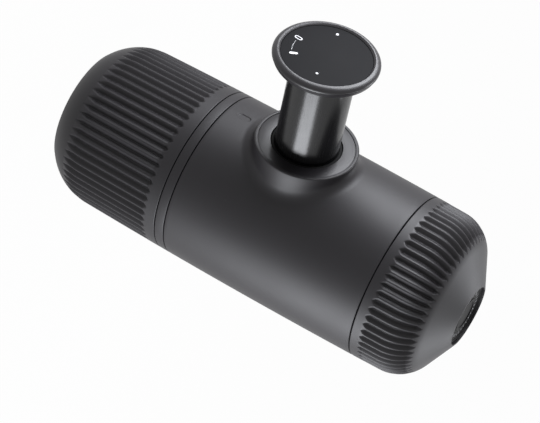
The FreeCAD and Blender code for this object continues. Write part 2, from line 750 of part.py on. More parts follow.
def main_housing():
    low = RING_TOP + SEAM
    high = HOUSING_TOP - SEAM
    middle = (low + high) / 2
    corner = size("lip_round")
    body = document.addObject("PartDesign::Body", "main_housing")
    turn(body, "housing_barrel", [
        (0, low), (barrel(low), low), ("via", barrel(middle), middle), (barrel(high), high), (0, high),
    ])
    boss = sketch_on(body, "collar_section", "XZ_Plane")
    draw_circle(boss, (Size.of(0), PISTON_HEIGHT), LIP)
    document.recompute()
    collar = body.newObject("PartDesign::Pad", "collar")
    collar.Profile = boss
    bind(collar, "Length", LIP_REACH)
    document.recompute()
    blend = least(size("lip_blend"), size("lip_height") - corner - CLOSE)
    rounded(body, collar, "collar_blend", blend, lambda edge: not at_lip(edge))
    document.recompute()
    rounded(body, body.Tip, "lip_edge", corner, at_lip)
    document.recompute()
    turn(body, "housing_hollow", ring_path(Size.of(0), HOUSING_BORE, low - PAST, high + PAST), cut=True)
    turn(body, "collar_bore", [
        (0, -LIP_REACH - PAST), (PLATE, -LIP_REACH - PAST), (PLATE, -PLATE_BACK), (BUSH, -PLATE_BACK),
        (BUSH, -BUSH_BACK), (LUG_BORE, -BUSH_BACK), (LUG_BORE, -HOUSING_BORE / 2), (0, -HOUSING_BORE / 2),
    ], along="Y", cut=True, height=PISTON_HEIGHT)
    keep("main_housing", body)


def on_collar(edge):
    """True for an edge that lies round the collar's wall."""
    middle = PISTON_HEIGHT.value
    points = edge.discretize(9)
    reaches = [math.hypot(point.x, point.z - middle) for point in points]
    outside = all(point.y < 0 for point in points)
    level = max(abs(reach - LIP.value) for reach in reaches) < CLOSE.value
    straight = math.isclose(edge.Length, (points[0] - points[-1]).Length)
    return outside and level and not straight


def at_lip(edge):
    return all(math.isclose(point.y, -LIP_REACH.value) for point in edge.discretize(5))


def rounded(body, base, name, radius, wanted):
    """Round those edges of the collar that are wanted."""
    names = []
    for number, edge in enumerate(base.Shape.Edges, start=1):
        if on_collar(edge) and wanted(edge):
            names.append(f"Edge{number}")
    fillet = body.newObject("PartDesign::Fillet", name)
    fillet.Base = (base, names)
    bind(fillet, "Radius", radius)


def collar_pieces():
    bore = SLEEVE + FIT
    bevel = size("wiper_bevel")
    seat = BUSH - CLOSE
    turned("collar_plate", ring_path(WIPER + 2 * CLOSE, PLATE - CLOSE, -PLATE_FRONT, -PLATE_BACK), along="Y")
    turned("wiper_ring", [
        (bore, -WIPER_FRONT), (WIPER - bevel, -WIPER_FRONT), (WIPER, -WIPER_FRONT + bevel),
        (WIPER, -PLATE_BACK), (seat, -PLATE_BACK), (seat, -WIPER_BACK), (bore, -WIPER_BACK),
    ], along="Y")
    turned("guide_bush", ring_path(bore, seat, -WIPER_BACK, -BUSH_BACK), along="Y")


# Plunger and knob.


def knob_pieces():
    socket = FACE_BACK - size("sleeve_cover")
    edge = size("knob_edge")
    nip = edge * (1 - cosine(45))
    side = (KNOB_BACK + KNOB_TOP - edge) / 2
    sink = size("rod_screw_radius") + GAP
    shank = size("rod_screw_shank") + GAP
    turned("knob", [
        (SLEEVE, -KNOB_HOLLOW_TOP), (KNOB_HOLLOW, -KNOB_HOLLOW_TOP), (KNOB_HOLLOW, -KNOB_BACK),
        (KNOB_FOOT, -KNOB_BACK), ("via", KNOB - size("knob_swell"), -side), (KNOB, -KNOB_TOP + edge),
        ("via", KNOB - nip, -KNOB_TOP + nip), (KNOB - edge, -KNOB_TOP), (KNOB_RIM, -KNOB_TOP),
        (KNOB_RIM, -FACE_BACK), (sink, -FACE_BACK), (sink, -SCREW_SEAT), (shank, -SCREW_SEAT),
        (shank, -KNOB_BACK), (SLEEVE_BORE, -KNOB_BACK), (SLEEVE_BORE, -socket), (SLEEVE, -socket),
    ], along="Y")
    turned("knob_face", disc_path(KNOB_RIM - CLOSE, -FACE_FRONT, -FACE_BACK), along="Y")
    tube = turned("sleeve_tube", [
        (SLEEVE_BORE, -socket), (SLEEVE, -socket), (SLEEVE, -FLANGE_FRONT), (FLANGE, -FLANGE_FRONT),
        (FLANGE, -FLANGE_BACK), (SLEEVE_BORE, -FLANGE_BACK),
    ], along="Y", working=True)
    start = FLANGE - PAST
    width = size("lug_width")
    lengths = (LUGS - start, size("flange_thickness"), width)
    lugs = [
        block("lug_right", (start, -FLANGE_FRONT, PISTON_HEIGHT - width / 2), lengths),
        block("lug_left", (-LUGS, -FLANGE_FRONT, PISTON_HEIGHT - width / 2), lengths),
    ]
    keep("piston_sleeve", joined("sleeve", [tube] + lugs))


def plunger_pieces():
    head = size("pump_bore") - size("head_play")
    floor = head - size("groove_depth")
    middle = (HEAD_FRONT + HEAD_BACK) / 2
    half = size("seal_width") / 2
    wall = half + 2 * CLOSE
    lip = size("pump_bore") - FIT
    bevel = size("seal_bevel")
    rod_top = KNOB_BACK - GAP
    turned("plunger_rod", disc_path(size("rod_radius"), -rod_top, -HEAD_BACK), along="Y")
    turned("plunger_head", [
        (0, -HEAD_BACK), (head, -HEAD_BACK), (head, -middle - wall), (floor, -middle - wall),
        (floor, -middle + wall), (head, -middle + wall), (head, -HEAD_FRONT), (0, -HEAD_FRONT),
    ], along="Y")
    turned("plunger_seal", [
        (floor + CLOSE, -middle - half), (lip - bevel, -middle - half), (lip, -middle - half + bevel),
        (lip, -middle + half - bevel), (lip - bevel, -middle + half), (floor + CLOSE, -middle + half),
    ], along="Y")
    shank = size("rod_screw_shank")
    top = SCREW_SEAT + GAP
    screw = size("rod_screw_radius")
    turned("rod_screw", [
        (0, -top - size("rod_screw_head")), (screw, -top - size("rod_screw_head")), (screw, -top),
        (shank, -top), (shank, -rod_top), (0, -rod_top),
    ], along="Y")
    turned("spring_washer", ring_path(
        SLEEVE_BORE, FLANGE - 2 * CLOSE, -FLANGE_BACK, -WASHER_BACK,
    ), along="Y")


# Pump.


def bayonet_slots():
    """Two slots in the cage: an entry along the plunger's axis, then a run round to the lock."""
    inner = CAGE_BORE - PAST
    outer = CAGE + PAST
    half = size("lug_width") / 2 + size("lug_side_play")
    entry = (outer - inner, SLOT_BACK - CAGE_MOUTH + PAST, 2 * half)
    length = SLOT_BACK - SLOT_FRONT
    tools = []
    for side, start, angle in (("right", inner, 0), ("left", -outer, 180)):
        tools.append(block(f"entry_{side}", (start, CAGE_MOUTH - PAST, PISTON_HEIGHT - half), entry))
        sector = cylinder(f"run_{side}", outer, length, 0, SLOT_FRONT, PISTON_HEIGHT, along="Y")
        facing = FreeCAD.Rotation(FreeCAD.Vector(0, 1, 0), angle)
        sector.Placement.Rotation = facing * sector.Placement.Rotation
        bind(sector, "Angle", size("lock_turn") + size("lug_swing"))
        core = cylinder(f"core_{side}", inner, length + 2 * PAST, 0, SLOT_FRONT - PAST, PISTON_HEIGHT, along="Y")
        tools.append(without(f"slot_{side}", sector, [core]))
    return tools


def pump_body():
    bore = size("pump_bore")
    back = SPRING_SEAT + size("seat_thickness")
    inlet = SOCKET_FLOOR - size("inlet_chamber")
    turned_part = turned("pump_turned", [
        (bore, -PUMP_MOUTH), (PUMP, -PUMP_MOUTH), (PUMP, SPRING_SEAT), (CAGE_BORE, SPRING_SEAT),
        (CAGE_BORE, CAGE_MOUTH), (CAGE, CAGE_MOUTH), (CAGE, back), (0, back), (0, PUMP_END), (bore, PUMP_END),
    ], along="Y", working=True)
    column = cylinder("column", COLUMN_RADIUS, SOCKET_FLOOR - GROUP_TOP, 0, COLUMN, GROUP_TOP)
    tools = [
        drill("inlet_room", CHAMBER, inlet, SOCKET_FLOOR, 0, COLUMN, blind="low"),
        drill("outlet_room", CHAMBER, GROUP_TOP, OUTLET_PORT, 0, COLUMN, blind="high"),
        drill("passage", PORT, OUTLET_PORT, inlet, 0, COLUMN),
        cylinder("pump_port", PORT, COLUMN - PUMP_END + PAST, 0, PUMP_END - PAST, PISTON_HEIGHT, along="Y"),
    ]
    solid = joined("pump_solid", [turned_part, column])
    keep("pump_body", without("pump", solid, tools + bayonet_slots()))
    turned("pump_gland", ring_path(
        size("rod_radius") + FIT, PUMP, -PUMP_MOUTH - size("gland_thickness"), -PUMP_MOUTH,
    ), along="Y")
    wire = size("spring_wire")
    middle = PUMP + size("spring_room") + wire / 2
    coil("return_spring", middle, wire, size("spring_turns"), -WASHER_BACK, SPRING_SEAT, along="Y")


def valves():
    chamber = CHAMBER - CLOSE
    stem = size("stem_radius")
    seat_low = SOCKET_FLOOR - size("seat_height")
    face = seat_low - size("valve_play")
    turned("inlet_seat", ring_path(PORT, chamber, seat_low, SOCKET_FLOOR), y=COLUMN)
    turned("inlet_valve", [
        (0, face - size("valve_disc")), (VALVE, face - size("valve_disc")), (VALVE, face),
        (stem, face), (stem, SOCKET_FLOOR), (0, SOCKET_FLOOR),
    ], y=COLUMN)
    turned("inlet_strainer", disc_path(
        STRAINER, SOCKET_FLOOR_TOP, SOCKET_FLOOR_TOP + size("basket_wall"),
    ), y=COLUMN)
    plug_top = GROUP_TOP + size("plug_height")
    poppet("outlet", VALVE, plug_top, OUTLET_PORT)
    turned("outlet_plug", ring_path(stem + CLOSE, chamber, GROUP_TOP, plug_top), y=COLUMN)


# Tank.


def water_tank():
    low = HOUSING_TOP + SEAM
    neck_low = low + size("neck_height")
    skirt = barrel(low) - size("tank_wall")
    corner = size("tank_corner")
    slope = size("tank_slope")
    lean = 90 - slope
    end = size("tank_end_radius")
    recess = end - size("tank_end_rim")
    recess_floor = TANK_TOP - size("tank_end_depth")
    roof = size("tank_roof")
    centre = barrel(SHOULDER) - corner
    inner = corner - roof
    bore_top = SHOULDER + leg(inner, TANK_BORE - centre)
    ceiling = TANK_TOP - roof / cosine(slope)
    body = turned("water_tank", [
        (TANK_BORE, TANK_RIM), (TANK_NECK, TANK_RIM), (TANK_NECK, neck_low), (skirt, neck_low), (skirt, low),
        (barrel(low), low), (barrel(SHOULDER), SHOULDER),
        ("via", centre + corner * cosine(lean / 2), SHOULDER + corner * sine(lean / 2)),
        (centre + corner * cosine(lean), SHOULDER + corner * sine(lean)),
        (end, TANK_TOP), (recess, TANK_TOP), (recess, recess_floor), (0, recess_floor),
        (0, ceiling), (end, ceiling), (centre + inner * cosine(lean), SHOULDER + inner * sine(lean)),
        (TANK_BORE, bore_top),
    ])
    flutes(body, "tank_flutes", TANK_TOP, SHOULDER, low + size("tank_flute_band"), size("tank_flute_phase"))
    turned("tank_end_disc", disc_path(recess - CLOSE, recess_floor, recess_floor + size("end_disc")))
    play = size("valve_play")
    turned("tank_seal", ring_path(
        SEAL_BORE, TANK_NECK - 2 * CLOSE, SOCKET_FLOOR_TOP + play, TANK_RIM - play,
    ))


def build():
    drinking_cup()
    portafilter_body()
    filter_basket()
    spout()
    portafilter_gasket()
    group_head()
    shower_screen()
    tank_socket()
    main_housing()
    collar_pieces()
    knob_pieces()
    plunger_pieces()
    pump_body()
    valves()
    water_tank()


def check():
    """Stop if any object of the document failed, or a piece has no sound shape."""
    for item in document.Objects:
        if {"Invalid", "Error"} & set(item.State):
            raise RuntimeError(f"{item.Label} failed: {item.State}")
    for item in PIECES:
        if item.Shape.isNull() or not item.Shape.isValid():
            raise RuntimeError(f"{item.Label} has no sound shape")


def write():
    os.makedirs("parts", exist_ok=True)
    for item in PIECES:
        item.Shape.exportStep(os.path.join("parts", f"{item.Label}.step"))
        print(item.Label, len(item.Shape.Solids), round(item.Shape.Volume / 1000, 3), "cm3")


build()
document.recompute()
check()
write()
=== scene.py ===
import math

import bmesh
import bpy
import numpy as np
from bpy.props import FloatProperty, FloatVectorProperty, IntProperty, PointerProperty
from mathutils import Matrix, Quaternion, Vector


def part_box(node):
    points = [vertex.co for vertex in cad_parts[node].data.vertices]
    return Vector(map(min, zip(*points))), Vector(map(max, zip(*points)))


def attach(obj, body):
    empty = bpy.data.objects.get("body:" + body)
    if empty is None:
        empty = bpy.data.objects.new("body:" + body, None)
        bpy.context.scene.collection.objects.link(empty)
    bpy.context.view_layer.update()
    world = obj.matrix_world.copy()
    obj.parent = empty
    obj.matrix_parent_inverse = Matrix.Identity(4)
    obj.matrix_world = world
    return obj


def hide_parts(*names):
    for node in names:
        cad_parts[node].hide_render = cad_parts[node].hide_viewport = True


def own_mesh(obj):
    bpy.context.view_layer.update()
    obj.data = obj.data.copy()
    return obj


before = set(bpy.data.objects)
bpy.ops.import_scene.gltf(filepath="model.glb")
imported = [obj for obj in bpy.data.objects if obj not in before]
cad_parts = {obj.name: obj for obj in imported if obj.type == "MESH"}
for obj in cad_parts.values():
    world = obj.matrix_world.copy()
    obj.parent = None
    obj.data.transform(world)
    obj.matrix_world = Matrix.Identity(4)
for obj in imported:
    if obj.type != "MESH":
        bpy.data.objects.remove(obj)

bl_info = {
    "name": "Handheld Espresso Maker",
    "version": (1, 0, 0),
    "blender": (4, 5, 0),
    "location": "3D View > Sidebar > Espresso",
    "description": "Builds the visible surfaces of a handheld espresso maker round its packed model",
    "category": "Object",
}

# The object stands on its cup: +Z runs from the cup to the water tank, the plunger comes out
# towards -Y. Lengths are in metres.

MM = 0.001
WELD = 1e-7
SHARP = math.radians(38)
SLEEVE_WALL = 1.4 * MM
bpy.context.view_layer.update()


def lowest(node):
    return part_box(node)[0]


def highest(node):
    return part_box(node)[1]


# Places that the frame gives.

CUP_TOP = highest("drinking_cup").z
HOUSING_LOW = lowest("main_housing").z
HOUSING_HIGH = highest("main_housing").z
TANK_TOP = highest("water_tank").z
BARREL_RADIUS = highest("main_housing").x
PLUNGER_HEIGHT = (lowest("knob").z + highest("knob").z) / 2
LIP_REACH = -lowest("main_housing").y
PLATE_REACH = -lowest("collar_plate").y
PLATE_BACK = -highest("collar_plate").y
WIPER_REACH = -lowest("wiper_ring").y
KNOB_TOP = -lowest("knob").y
KNOB_BACK = -highest("knob").y
KNOB_RADIUS = highest("knob").x
FACE_REACH = -lowest("knob_face").y
FACE_RADIUS = highest("knob_face").x
NECK_LOW = lowest("portafilter_body").z
THREAD_TOP = highest("portafilter_body").z
TANK_RIM = lowest("water_tank").z
DISC_LOW = lowest("tank_end_disc").z
DISC_TOP = highest("tank_end_disc").z
DISC_RADIUS = highest("tank_end_disc").x


def length(name, description, default):
    return FloatProperty(name=name, description=description, default=default,
                         subtype="DISTANCE", unit="LENGTH", precision=5)


def colour(name, description, default):
    return FloatVectorProperty(name=name, description=description, default=default,
                               subtype="COLOR", size=3, min=0, max=1)


class EspressoSizes(bpy.types.PropertyGroup):
    """Sizes that the frame's boxes don't give."""

    barrel_sweep: length("Barrel sweep", "Radius of the barrel's long curve", 2652 * MM)
    barrel_crest: length("Barrel crest", "Height of the barrel's largest radius", 76.5 * MM)
    seam: length("Seam", "Width of a visible seam", 0.3 * MM)
    seam_round: length("Seam rounding", "Rounded edge at a seam", 0.3 * MM)
    flute_count: IntProperty(name="Flutes", description="Flutes round cup and tank", default=60, min=12)
    flute_depth: length("Flute depth", "Depth of one flute", 1.22 * MM)
    flute_ridge: length("Flute ridge", "Round of the ridges between the flutes", 0.45 * MM)
    flute_bottom: length("Flute bottom", "Round of the flutes' bottoms", 0.2 * MM)
    flute_stop: length("Flute stop", "Length over which a flute rises beside a seam", 1.7 * MM)
    flute_tip: length("Flute tip", "Length over which a flute rises on the dome", 2.4 * MM)
    flute_fade: length("Flute fade", "Length over which a flute rises on the cup's corner", 4 * MM)
    cup_corner: length("Cup corner", "Radius of the cup's lower corner", 20.9 * MM)
    cup_shoulder: length("Cup shoulder", "Height where that corner meets the barrel", 16.4 * MM)
    tank_corner: length("Tank corner", "Radius of the dome's corner", 13.74 * MM)
    tank_shoulder: length("Tank shoulder", "Height where the dome starts", 138 * MM)
    tank_slope: FloatProperty(name="Tank slope", description="Slope of the dome", subtype="ANGLE",
                              default=math.radians(27))
    lip_radius: length("Lip radius", "Outer radius of the plunger's collar", 17.9 * MM)
    blend_ends: length("Blend, ends", "Blend of the collar above and below it", 3.85 * MM)
    blend_sides: length("Blend, sides", "Blend of the collar on both sides", 5.8 * MM)
    sleeve_radius: length("Sleeve radius", "Outer radius of the plunger's sleeve", 11.05 * MM)
    wiper_radius: length("Wiper radius", "Outer radius of the rubber ring round the sleeve", 12.25 * MM)
    thread_pitch: length("Thread pitch", "Rise of a thread in one turn", 4 * MM)
    thread_depth: length("Thread depth", "Depth of a thread", 0.7 * MM)
    spring_wire: length("Spring wire", "Wire of the return spring", 1.3 * MM)
    valve_wire: length("Valve wire", "Wire of the two valve springs", 0.5 * MM)


class EspressoColours(bpy.types.PropertyGroup):
    """Colours of the finishes."""

    body: colour("Body", "Moulded body, cup and tank", (0.011, 0.01, 0.0116))
    knob: colour("Knob", "Rim of the knob", (0.013, 0.012, 0.0138))
    face: colour("Knob face", "Inset disc of the knob", (0.006, 0.006, 0.0067))
    sleeve: colour("Sleeve", "Polished sleeve", (0.004, 0.004, 0.0046))
    rubber: colour("Rubber", "Wiper ring", (0.003, 0.003, 0.003))
    silicone: colour("Silicone", "Seals", (0.30, 0.30, 0.31))
    inner: colour("Inner frame", "Moulded parts inside", (0.035, 0.035, 0.038))
    steel: colour("Steel", "Basket, screen, springs and screws", (0.56, 0.56, 0.57))
    ink: colour("Ink", "Printed marks", (0.62, 0.62, 0.63))
    floor: colour("Floor", "Studio floor", (0.3, 0.3, 0.3))


def sizes():
    return bpy.context.scene.espresso_sizes


def colours():
    return bpy.context.scene.espresso_colours


# Surfaces. A grid is an array of points, row by row; each row has one point for each column.


def grid_faces(rows, columns, round_rows, round_columns):
    """Four corners of each cell: (i, j), (i, j+1), (i+1, j+1), (i+1, j), wrapped where it is round."""
    row = np.arange(rows if round_rows else rows - 1)[:, None]
    column = np.arange(columns if round_columns else columns - 1)[None, :]
    here, below = row * columns, (row + 1) % rows * columns
    right = (column + 1) % columns
    return np.stack([here + column, here + right, below + right, below + column], -1).reshape(-1, 4)


def piece_from(name, grids, edge=None):
    """One mesh of several grids, each (points, round_rows, round_columns), welded where they meet.

    edge, one number for each point, goes into the attribute that the finishes read as wear.
    """
    points, faces, start = [], [], 0
    for grid, round_rows, round_columns in grids:
        rows, columns = grid.shape[:2]
        points.append(grid.reshape(-1, 3))
        faces.append(grid_faces(rows, columns, round_rows, round_columns) + start)
        start += rows * columns
    mesh = bpy.data.meshes.new(name)
    mesh.from_pydata(np.concatenate(points).tolist(), [], np.concatenate(faces).tolist())
    if edge is not None:
        wear = mesh.attributes.new("edge", "FLOAT", "POINT")
        wear.data.foreach_set("value", edge.ravel().astype(np.float32))
    work = bmesh.new()
    work.from_mesh(mesh)
    bmesh.ops.remove_doubles(work, verts=work.verts, dist=WELD)
    bmesh.ops.dissolve_degenerate(work, edges=work.edges, dist=WELD)
    work.to_mesh(mesh)
    work.free()
    mesh.shade_smooth()
    mesh.set_sharp_from_angle(angle=SHARP)
    piece = bpy.data.objects.new(name, mesh)
    bpy.context.scene.collection.objects.link(piece)
    return piece


def fit(piece, body, slot, finish, *nodes):
    """Give a piece its finish, its body and the CAD nodes that it stands for."""
    piece.data.materials.append(finish)
    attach(piece, body)
    if nodes:
        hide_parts(*nodes)


def rounded(corners, closed=True, steps=5):
    """An outline with its corners rounded. Corner C of reach d becomes the parabola
    (1-t)^2 A + 2 t (1-t) C + t^2 B, where A and B lie d from C on the lines that meet there. The
    two ends of an open outline stay as they are."""
    corners = np.array(corners, float)
    spots, reach = corners[:, :2], corners[:, 2:]
    if not closed:
        reach[[0, -1]] = 0
    back = np.roll(spots, 1, 0) - spots
    ahead = np.roll(spots, -1, 0) - spots
    start = spots + back / np.linalg.norm(back, axis=1, keepdims=True) * reach
    end = spots + ahead / np.linalg.norm(ahead, axis=1, keepdims=True) * reach
    t = np.linspace(0, 1, steps)[None, :, None]
    path = (1 - t) ** 2 * start[:, None] + 2 * t * (1 - t) * spots[:, None] + t ** 2 * end[:, None]
    path = path.reshape(-1, 2)
    step = np.linalg.norm(np.diff(path, axis=0, prepend=path[-1:] if closed else path[:1] - 1), axis=1)
    return path[step > WELD]


def ring(columns):
    return np.arange(columns) * (2 * math.pi / columns)


def lathe(path, angles, sink=0.0):
    """Surface of revolution (r cos a, r sin a, z) of a path (r, z), each point moved by sink
    against the path's outward normal, which is its direction turned a quarter to the right."""
    way = np.gradient(path, axis=0)
    way = way / np.linalg.norm(way, axis=1, keepdims=True)
    across = path[:, :1] - sink * way[:, 1:] + 0 * angles
    along = path[:, 1:] + sink * way[:, :1] + 0 * angles
    return np.stack([across * np.cos(angles), across * np.sin(angles), along], -1)


def on_plunger(points):
    """Turn points from round the Z axis to round the plunger's axis: (x, y, z) to (x, -z, H + y)."""
    x, y, z = np.moveaxis(points, -1, 0)
    return np.stack([x, -z, PLUNGER_HEIGHT + y], -1)


def turned(name, corners, columns=128, plunger=False, closed=True):
    """A piece turned from a rounded outline (r, z, reach), round Z or round the plunger's axis."""
    points = lathe(rounded(corners, closed), ring(columns))
    if plunger:
        points = on_plunger(points)
    return piece_from(name, [(points, closed, True)])


def barrel(z):
    """Radius of the barrel's long curve: R - (z - crest)^2 / (2 sweep)."""
    size = sizes()
    return BARREL_RADIUS - (z - size.barrel_crest) ** 2 / (2 * size.barrel_sweep)


def along(line, *spans):
    """Points of a line of many points at chosen arc lengths. A span is (first, last, count)."""
    gone = np.concatenate([[0], np.cumsum(np.linalg.norm(np.diff(line, axis=0), axis=1))])
    marks = np.unique(np.concatenate([np.linspace(*span) for span in spans]).clip(0, gone[-1]).round(7))
    path = np.stack([np.interp(marks, gone, line[:, 0]), np.interp(marks, gone, line[:, 1])], 1)
    return path, marks


def arc(centre, radius, first, last, count=400):
    """Points (r, z) on an arc, angles from the outward horizontal."""
    turn = np.linspace(first, last, count)
    return np.stack([centre[0] + radius * np.cos(turn), centre[1] + radius * np.sin(turn)], 1)


def flute_angles(phase):
    """Azimuths that follow the flutes: closer together on the ridges and in the bottoms."""
    count = sizes().flute_count
    inner = np.array([0.07, 0.2, 0.4, 0.6, 0.74, 0.84, 0.92]) / 2
    local = np.concatenate([-inner[::-1], [0], inner, [0.5]])
    turn = (np.arange(count)[:, None] + local[None, :]).ravel() * 2 * math.pi / count
    return turn + math.radians(phase)


def flute_sink(angles, marks, first, last, phase):
    """Depth of V-shaped flutes, D (f + sqrt(f^2 + e^2)) / 2, where f = h(G - G h(x, b), c) - y^1.5
    and the small e keeps the depth above 0 and its edges soft.

    h(x, b) = (sqrt(x^2 + b^2) - b) / (sqrt(G^2 + b^2) - b) is a straight slope from 0 to 1 with a
    round foot of radius b. x is the distance across from a flute's middle, G half the pitch, b the
    round of the bottoms and c that of the ridges. y goes from 0 to 1 along the run-out at an end.
    first and last are (mark of the flute's end, length of the run-out).
    """
    size = sizes()
    pitch = 2 * math.pi / size.flute_count
    gap = pitch / 2 * BARREL_RADIUS
    soft = 0.05

    def slope(distance, foot):
        return (np.hypot(distance, foot) - foot) / (math.hypot(gap, foot) - foot)

    across = ((angles - math.radians(phase) + pitch / 2) % pitch - pitch / 2) * BARREL_RADIUS
    cut = slope(gap - gap * slope(across, size.flute_bottom), size.flute_ridge)
    rise = (1 - (marks - first[0]) / first[1]).clip(0) + (1 - (last[0] - marks) / last[1]).clip(0)
    share = cut[None, :] - rise[:, None] ** 1.5
    return size.flute_depth * (share + np.hypot(share, soft)) / 2


def with_plain_rows(before, rows, after):
    """Rows of numbers with rows of 0 for each point of the paths before and after them."""
    return np.pad(rows, ((len(before), len(after)), (0, 0)))


def fluted_piece(name, before, line, after, flutes, phase, spans, counts):
    """A turned shell with flutes on the stretch line, between two plainer stretches of its path.

    flutes are the two (mark of the end, length of the run-out), counts the rows along each run-out.
    """
    (first, rise), (last, fall) = flutes
    outside, inside = 0.4 * MM, 0.3 * MM
    path, marks = along(line, *spans, (first - outside, first + rise + inside, counts[0]),
                        (last - fall - inside, last + outside, counts[1]))
    angles = flute_angles(phase)
    sink = flute_sink(angles, marks, *flutes, phase)
    points = lathe(np.concatenate([before, path, after]), angles, with_plain_rows(before, sink, after))
    ridge = np.clip(1 - sink / (0.25 * sizes().flute_depth), 0, 1)
    fluted = ((marks > first) & (marks < last))[:, None]
    return piece_from(name, [(points, False, True)], with_plain_rows(before, ridge * fluted, after))


def thread_sink(angles, heights, first, last):
    """Cut of a right-hand thread: the wave z / pitch - a / 2 pi, flat at crest and root, and
    full depth past the thread's two ends."""
    size = sizes()
    flank = 1.1
    run_out = size.thread_pitch / 3
    phase = heights[:, None] / size.thread_pitch - angles[None, :] / (2 * math.pi)
    wave = np.abs(phase % 1 - 0.5) * 4 - 1
    root = np.clip(0.5 + flank * wave, 0, 1)
    ends = np.clip((heights - first) / run_out, 0, 1) * np.clip((last - heights) / run_out, 0, 1)
    return size.thread_depth * (1 - (1 - root) * ends[:, None])


def threaded_piece(name, before, radius, span, after):
    """A closed turned piece whose path has a threaded stretch of one radius between two plain ones."""
    rows, columns = 48, 144
    heights = np.linspace(*span, rows)
    path = np.concatenate([before, np.stack([np.full(rows, radius), heights], 1), after])
    angles = ring(columns)
    sinks = with_plain_rows(before, thread_sink(angles, heights, min(span), max(span)), after)
    across = path[:, :1] - sinks
    points = np.stack([across * np.cos(angles), across * np.sin(angles), path[:, 1:] + 0 * sinks], -1)
    return piece_from(name, [(points, True, True)])


# Finishes.


def operator(operation):
    """Methods for self with other and for other with self."""
    return (lambda self, other: self.math(operation, self, other),
            lambda self, other: self.math(operation, other, self))


class Value:
    """A socket that can stand in a Python expression; each operator adds a Math node."""

    __add__, __radd__ = operator("ADD")
    __sub__, __rsub__ = operator("SUBTRACT")
    __mul__, __rmul__ = operator("MULTIPLY")

    def __init__(self, nodes, socket):
        self.nodes = nodes
        self.socket = socket

    def math(self, operation, *terms):
        return self.nodes.node("ShaderNodeMath", {"operation": operation}, dict(enumerate(terms)))

    def most(self, other):
        return self.math("MAXIMUM", self, other)

    def between(self, first, last):
        """0 below first, 1 above last, smooth between."""
        settings = {"interpolation_type": "SMOOTHSTEP"}
        inputs = {"Value": self, "From Min": first, "From Max": last}
        return self.nodes.node("ShaderNodeMapRange", settings, inputs)


class Nodes:
    """A node tree and the one method that adds nodes to it."""

    def __init__(self, tree):
        self.tree = tree

    def node(self, kind, settings=(), inputs=(), output=0):
        node = self.tree.nodes.new(kind)
        for key, value in dict(settings).items():
            setattr(node, key, value)
        for key, value in dict(inputs).items():
            if isinstance(value, Value):
                self.tree.links.new(value.socket, node.inputs[key])
            else:
                node.inputs[key].default_value = value
        return Value(self, node.outputs[output])

    def show(self, shader, output):
        self.tree.links.new(shader.socket, self.tree.nodes[output].inputs["Surface"])

    def white_rays(self):
        """1 for rays from the camera, a reflection or a clear part, 0 for the light on the object."""
        seen = [self.node("ShaderNodeLightPath", output=f"Is {kind} Ray")
                for kind in ("Camera", "Glossy", "Transmission")]
        return seen[0].most(seen[1]).most(seen[2])


class Finish(Nodes):
    """A material with the Principled shader; constants are set on the shader's own sockets."""

    def __init__(self, name, **constants):
        self.material = bpy.data.materials.new(name)
        self.material.use_nodes = True
        super().__init__(self.material.node_tree)
        self.shader = self.tree.nodes["Principled BSDF"]
        for socket, number in constants.items():
            self.shader.inputs[socket.replace("_", " ")].default_value = number
        self.place = self.node("ShaderNodeTexCoord", output="Object")

    def noise(self, grain, detail=2.0, stretch=None):
        """Noise whose grains are about so many metres across."""
        place = self.place
        if stretch is not None:
            place = self.node("ShaderNodeMapping", inputs={"Vector": place, "Scale": stretch})
        inputs = {"Vector": place, "Scale": 1 / grain, "Detail": detail}
        return self.node("ShaderNodeTexNoise", {}, inputs)

    def mix(self, share, first, last):
        """Colour between two colours."""
        inputs = {0: share, 6: colour_of(first), 7: colour_of(last)}
        return self.node("ShaderNodeMix", {"data_type": "RGBA"}, inputs, output=2)

    def edge(self):
        return self.node("ShaderNodeAttribute", {"attribute_name": "edge"}, output="Fac")

    def set(self, **values):
        for socket, value in values.items():
            self.tree.links.new(value.socket, self.shader.inputs[socket.replace("_", " ")])
        return self.material

    def bump(self, height, depth):
        """Normal of a relief so many metres high."""
        return self.node("ShaderNodeBump", {}, {"Height": height, "Distance": depth}, output="Normal")


def colour_of(value):
    return value if isinstance(value, Value) else (*value[:3], 1.0)


def shade(colour, factor):
    """A colour made lighter or darker by a factor."""
    return tuple(min(1.0, part * factor) for part in colour)


def made_once(make):
    """A finish is made for the first piece that asks for it, and the others share it."""
    def find(name, *values, **options):
        return bpy.data.materials.get(name) or make(name, *values, **options)
    return find


@made_once
def moulded(name, base, roughness, grain=0.22 * MM, depth=0.006 * MM, specular=0.3):
    """Satin moulded plastic: fine spark-eroded grain, faint mottling, handled edges a little
    lighter and smoother, and rare specks of dust."""
    finish = Finish(name, Specular_IOR_Level=specular)
    skin = finish.noise(grain, 3.0)
    cloud = finish.noise(14 * MM, 3.0)
    speck = finish.noise(1.1 * MM, 2.0).between(0.70, 0.76)
    worn = finish.edge() * cloud.between(0.3, 0.7)
    tone = finish.mix(cloud, shade(base, 0.92), shade(base, 1.08))
    tone = finish.mix(worn * 0.45, tone, shade(base, 1.8))
    tone = finish.mix(speck * 0.25, tone, shade(base, 2.4))
    rough = roughness + 0.08 * (cloud - 0.5) + 0.05 * (skin - 0.5) - 0.08 * worn
    return finish.set(Base_Color=tone, Roughness=rough, Normal=finish.bump(skin, depth))


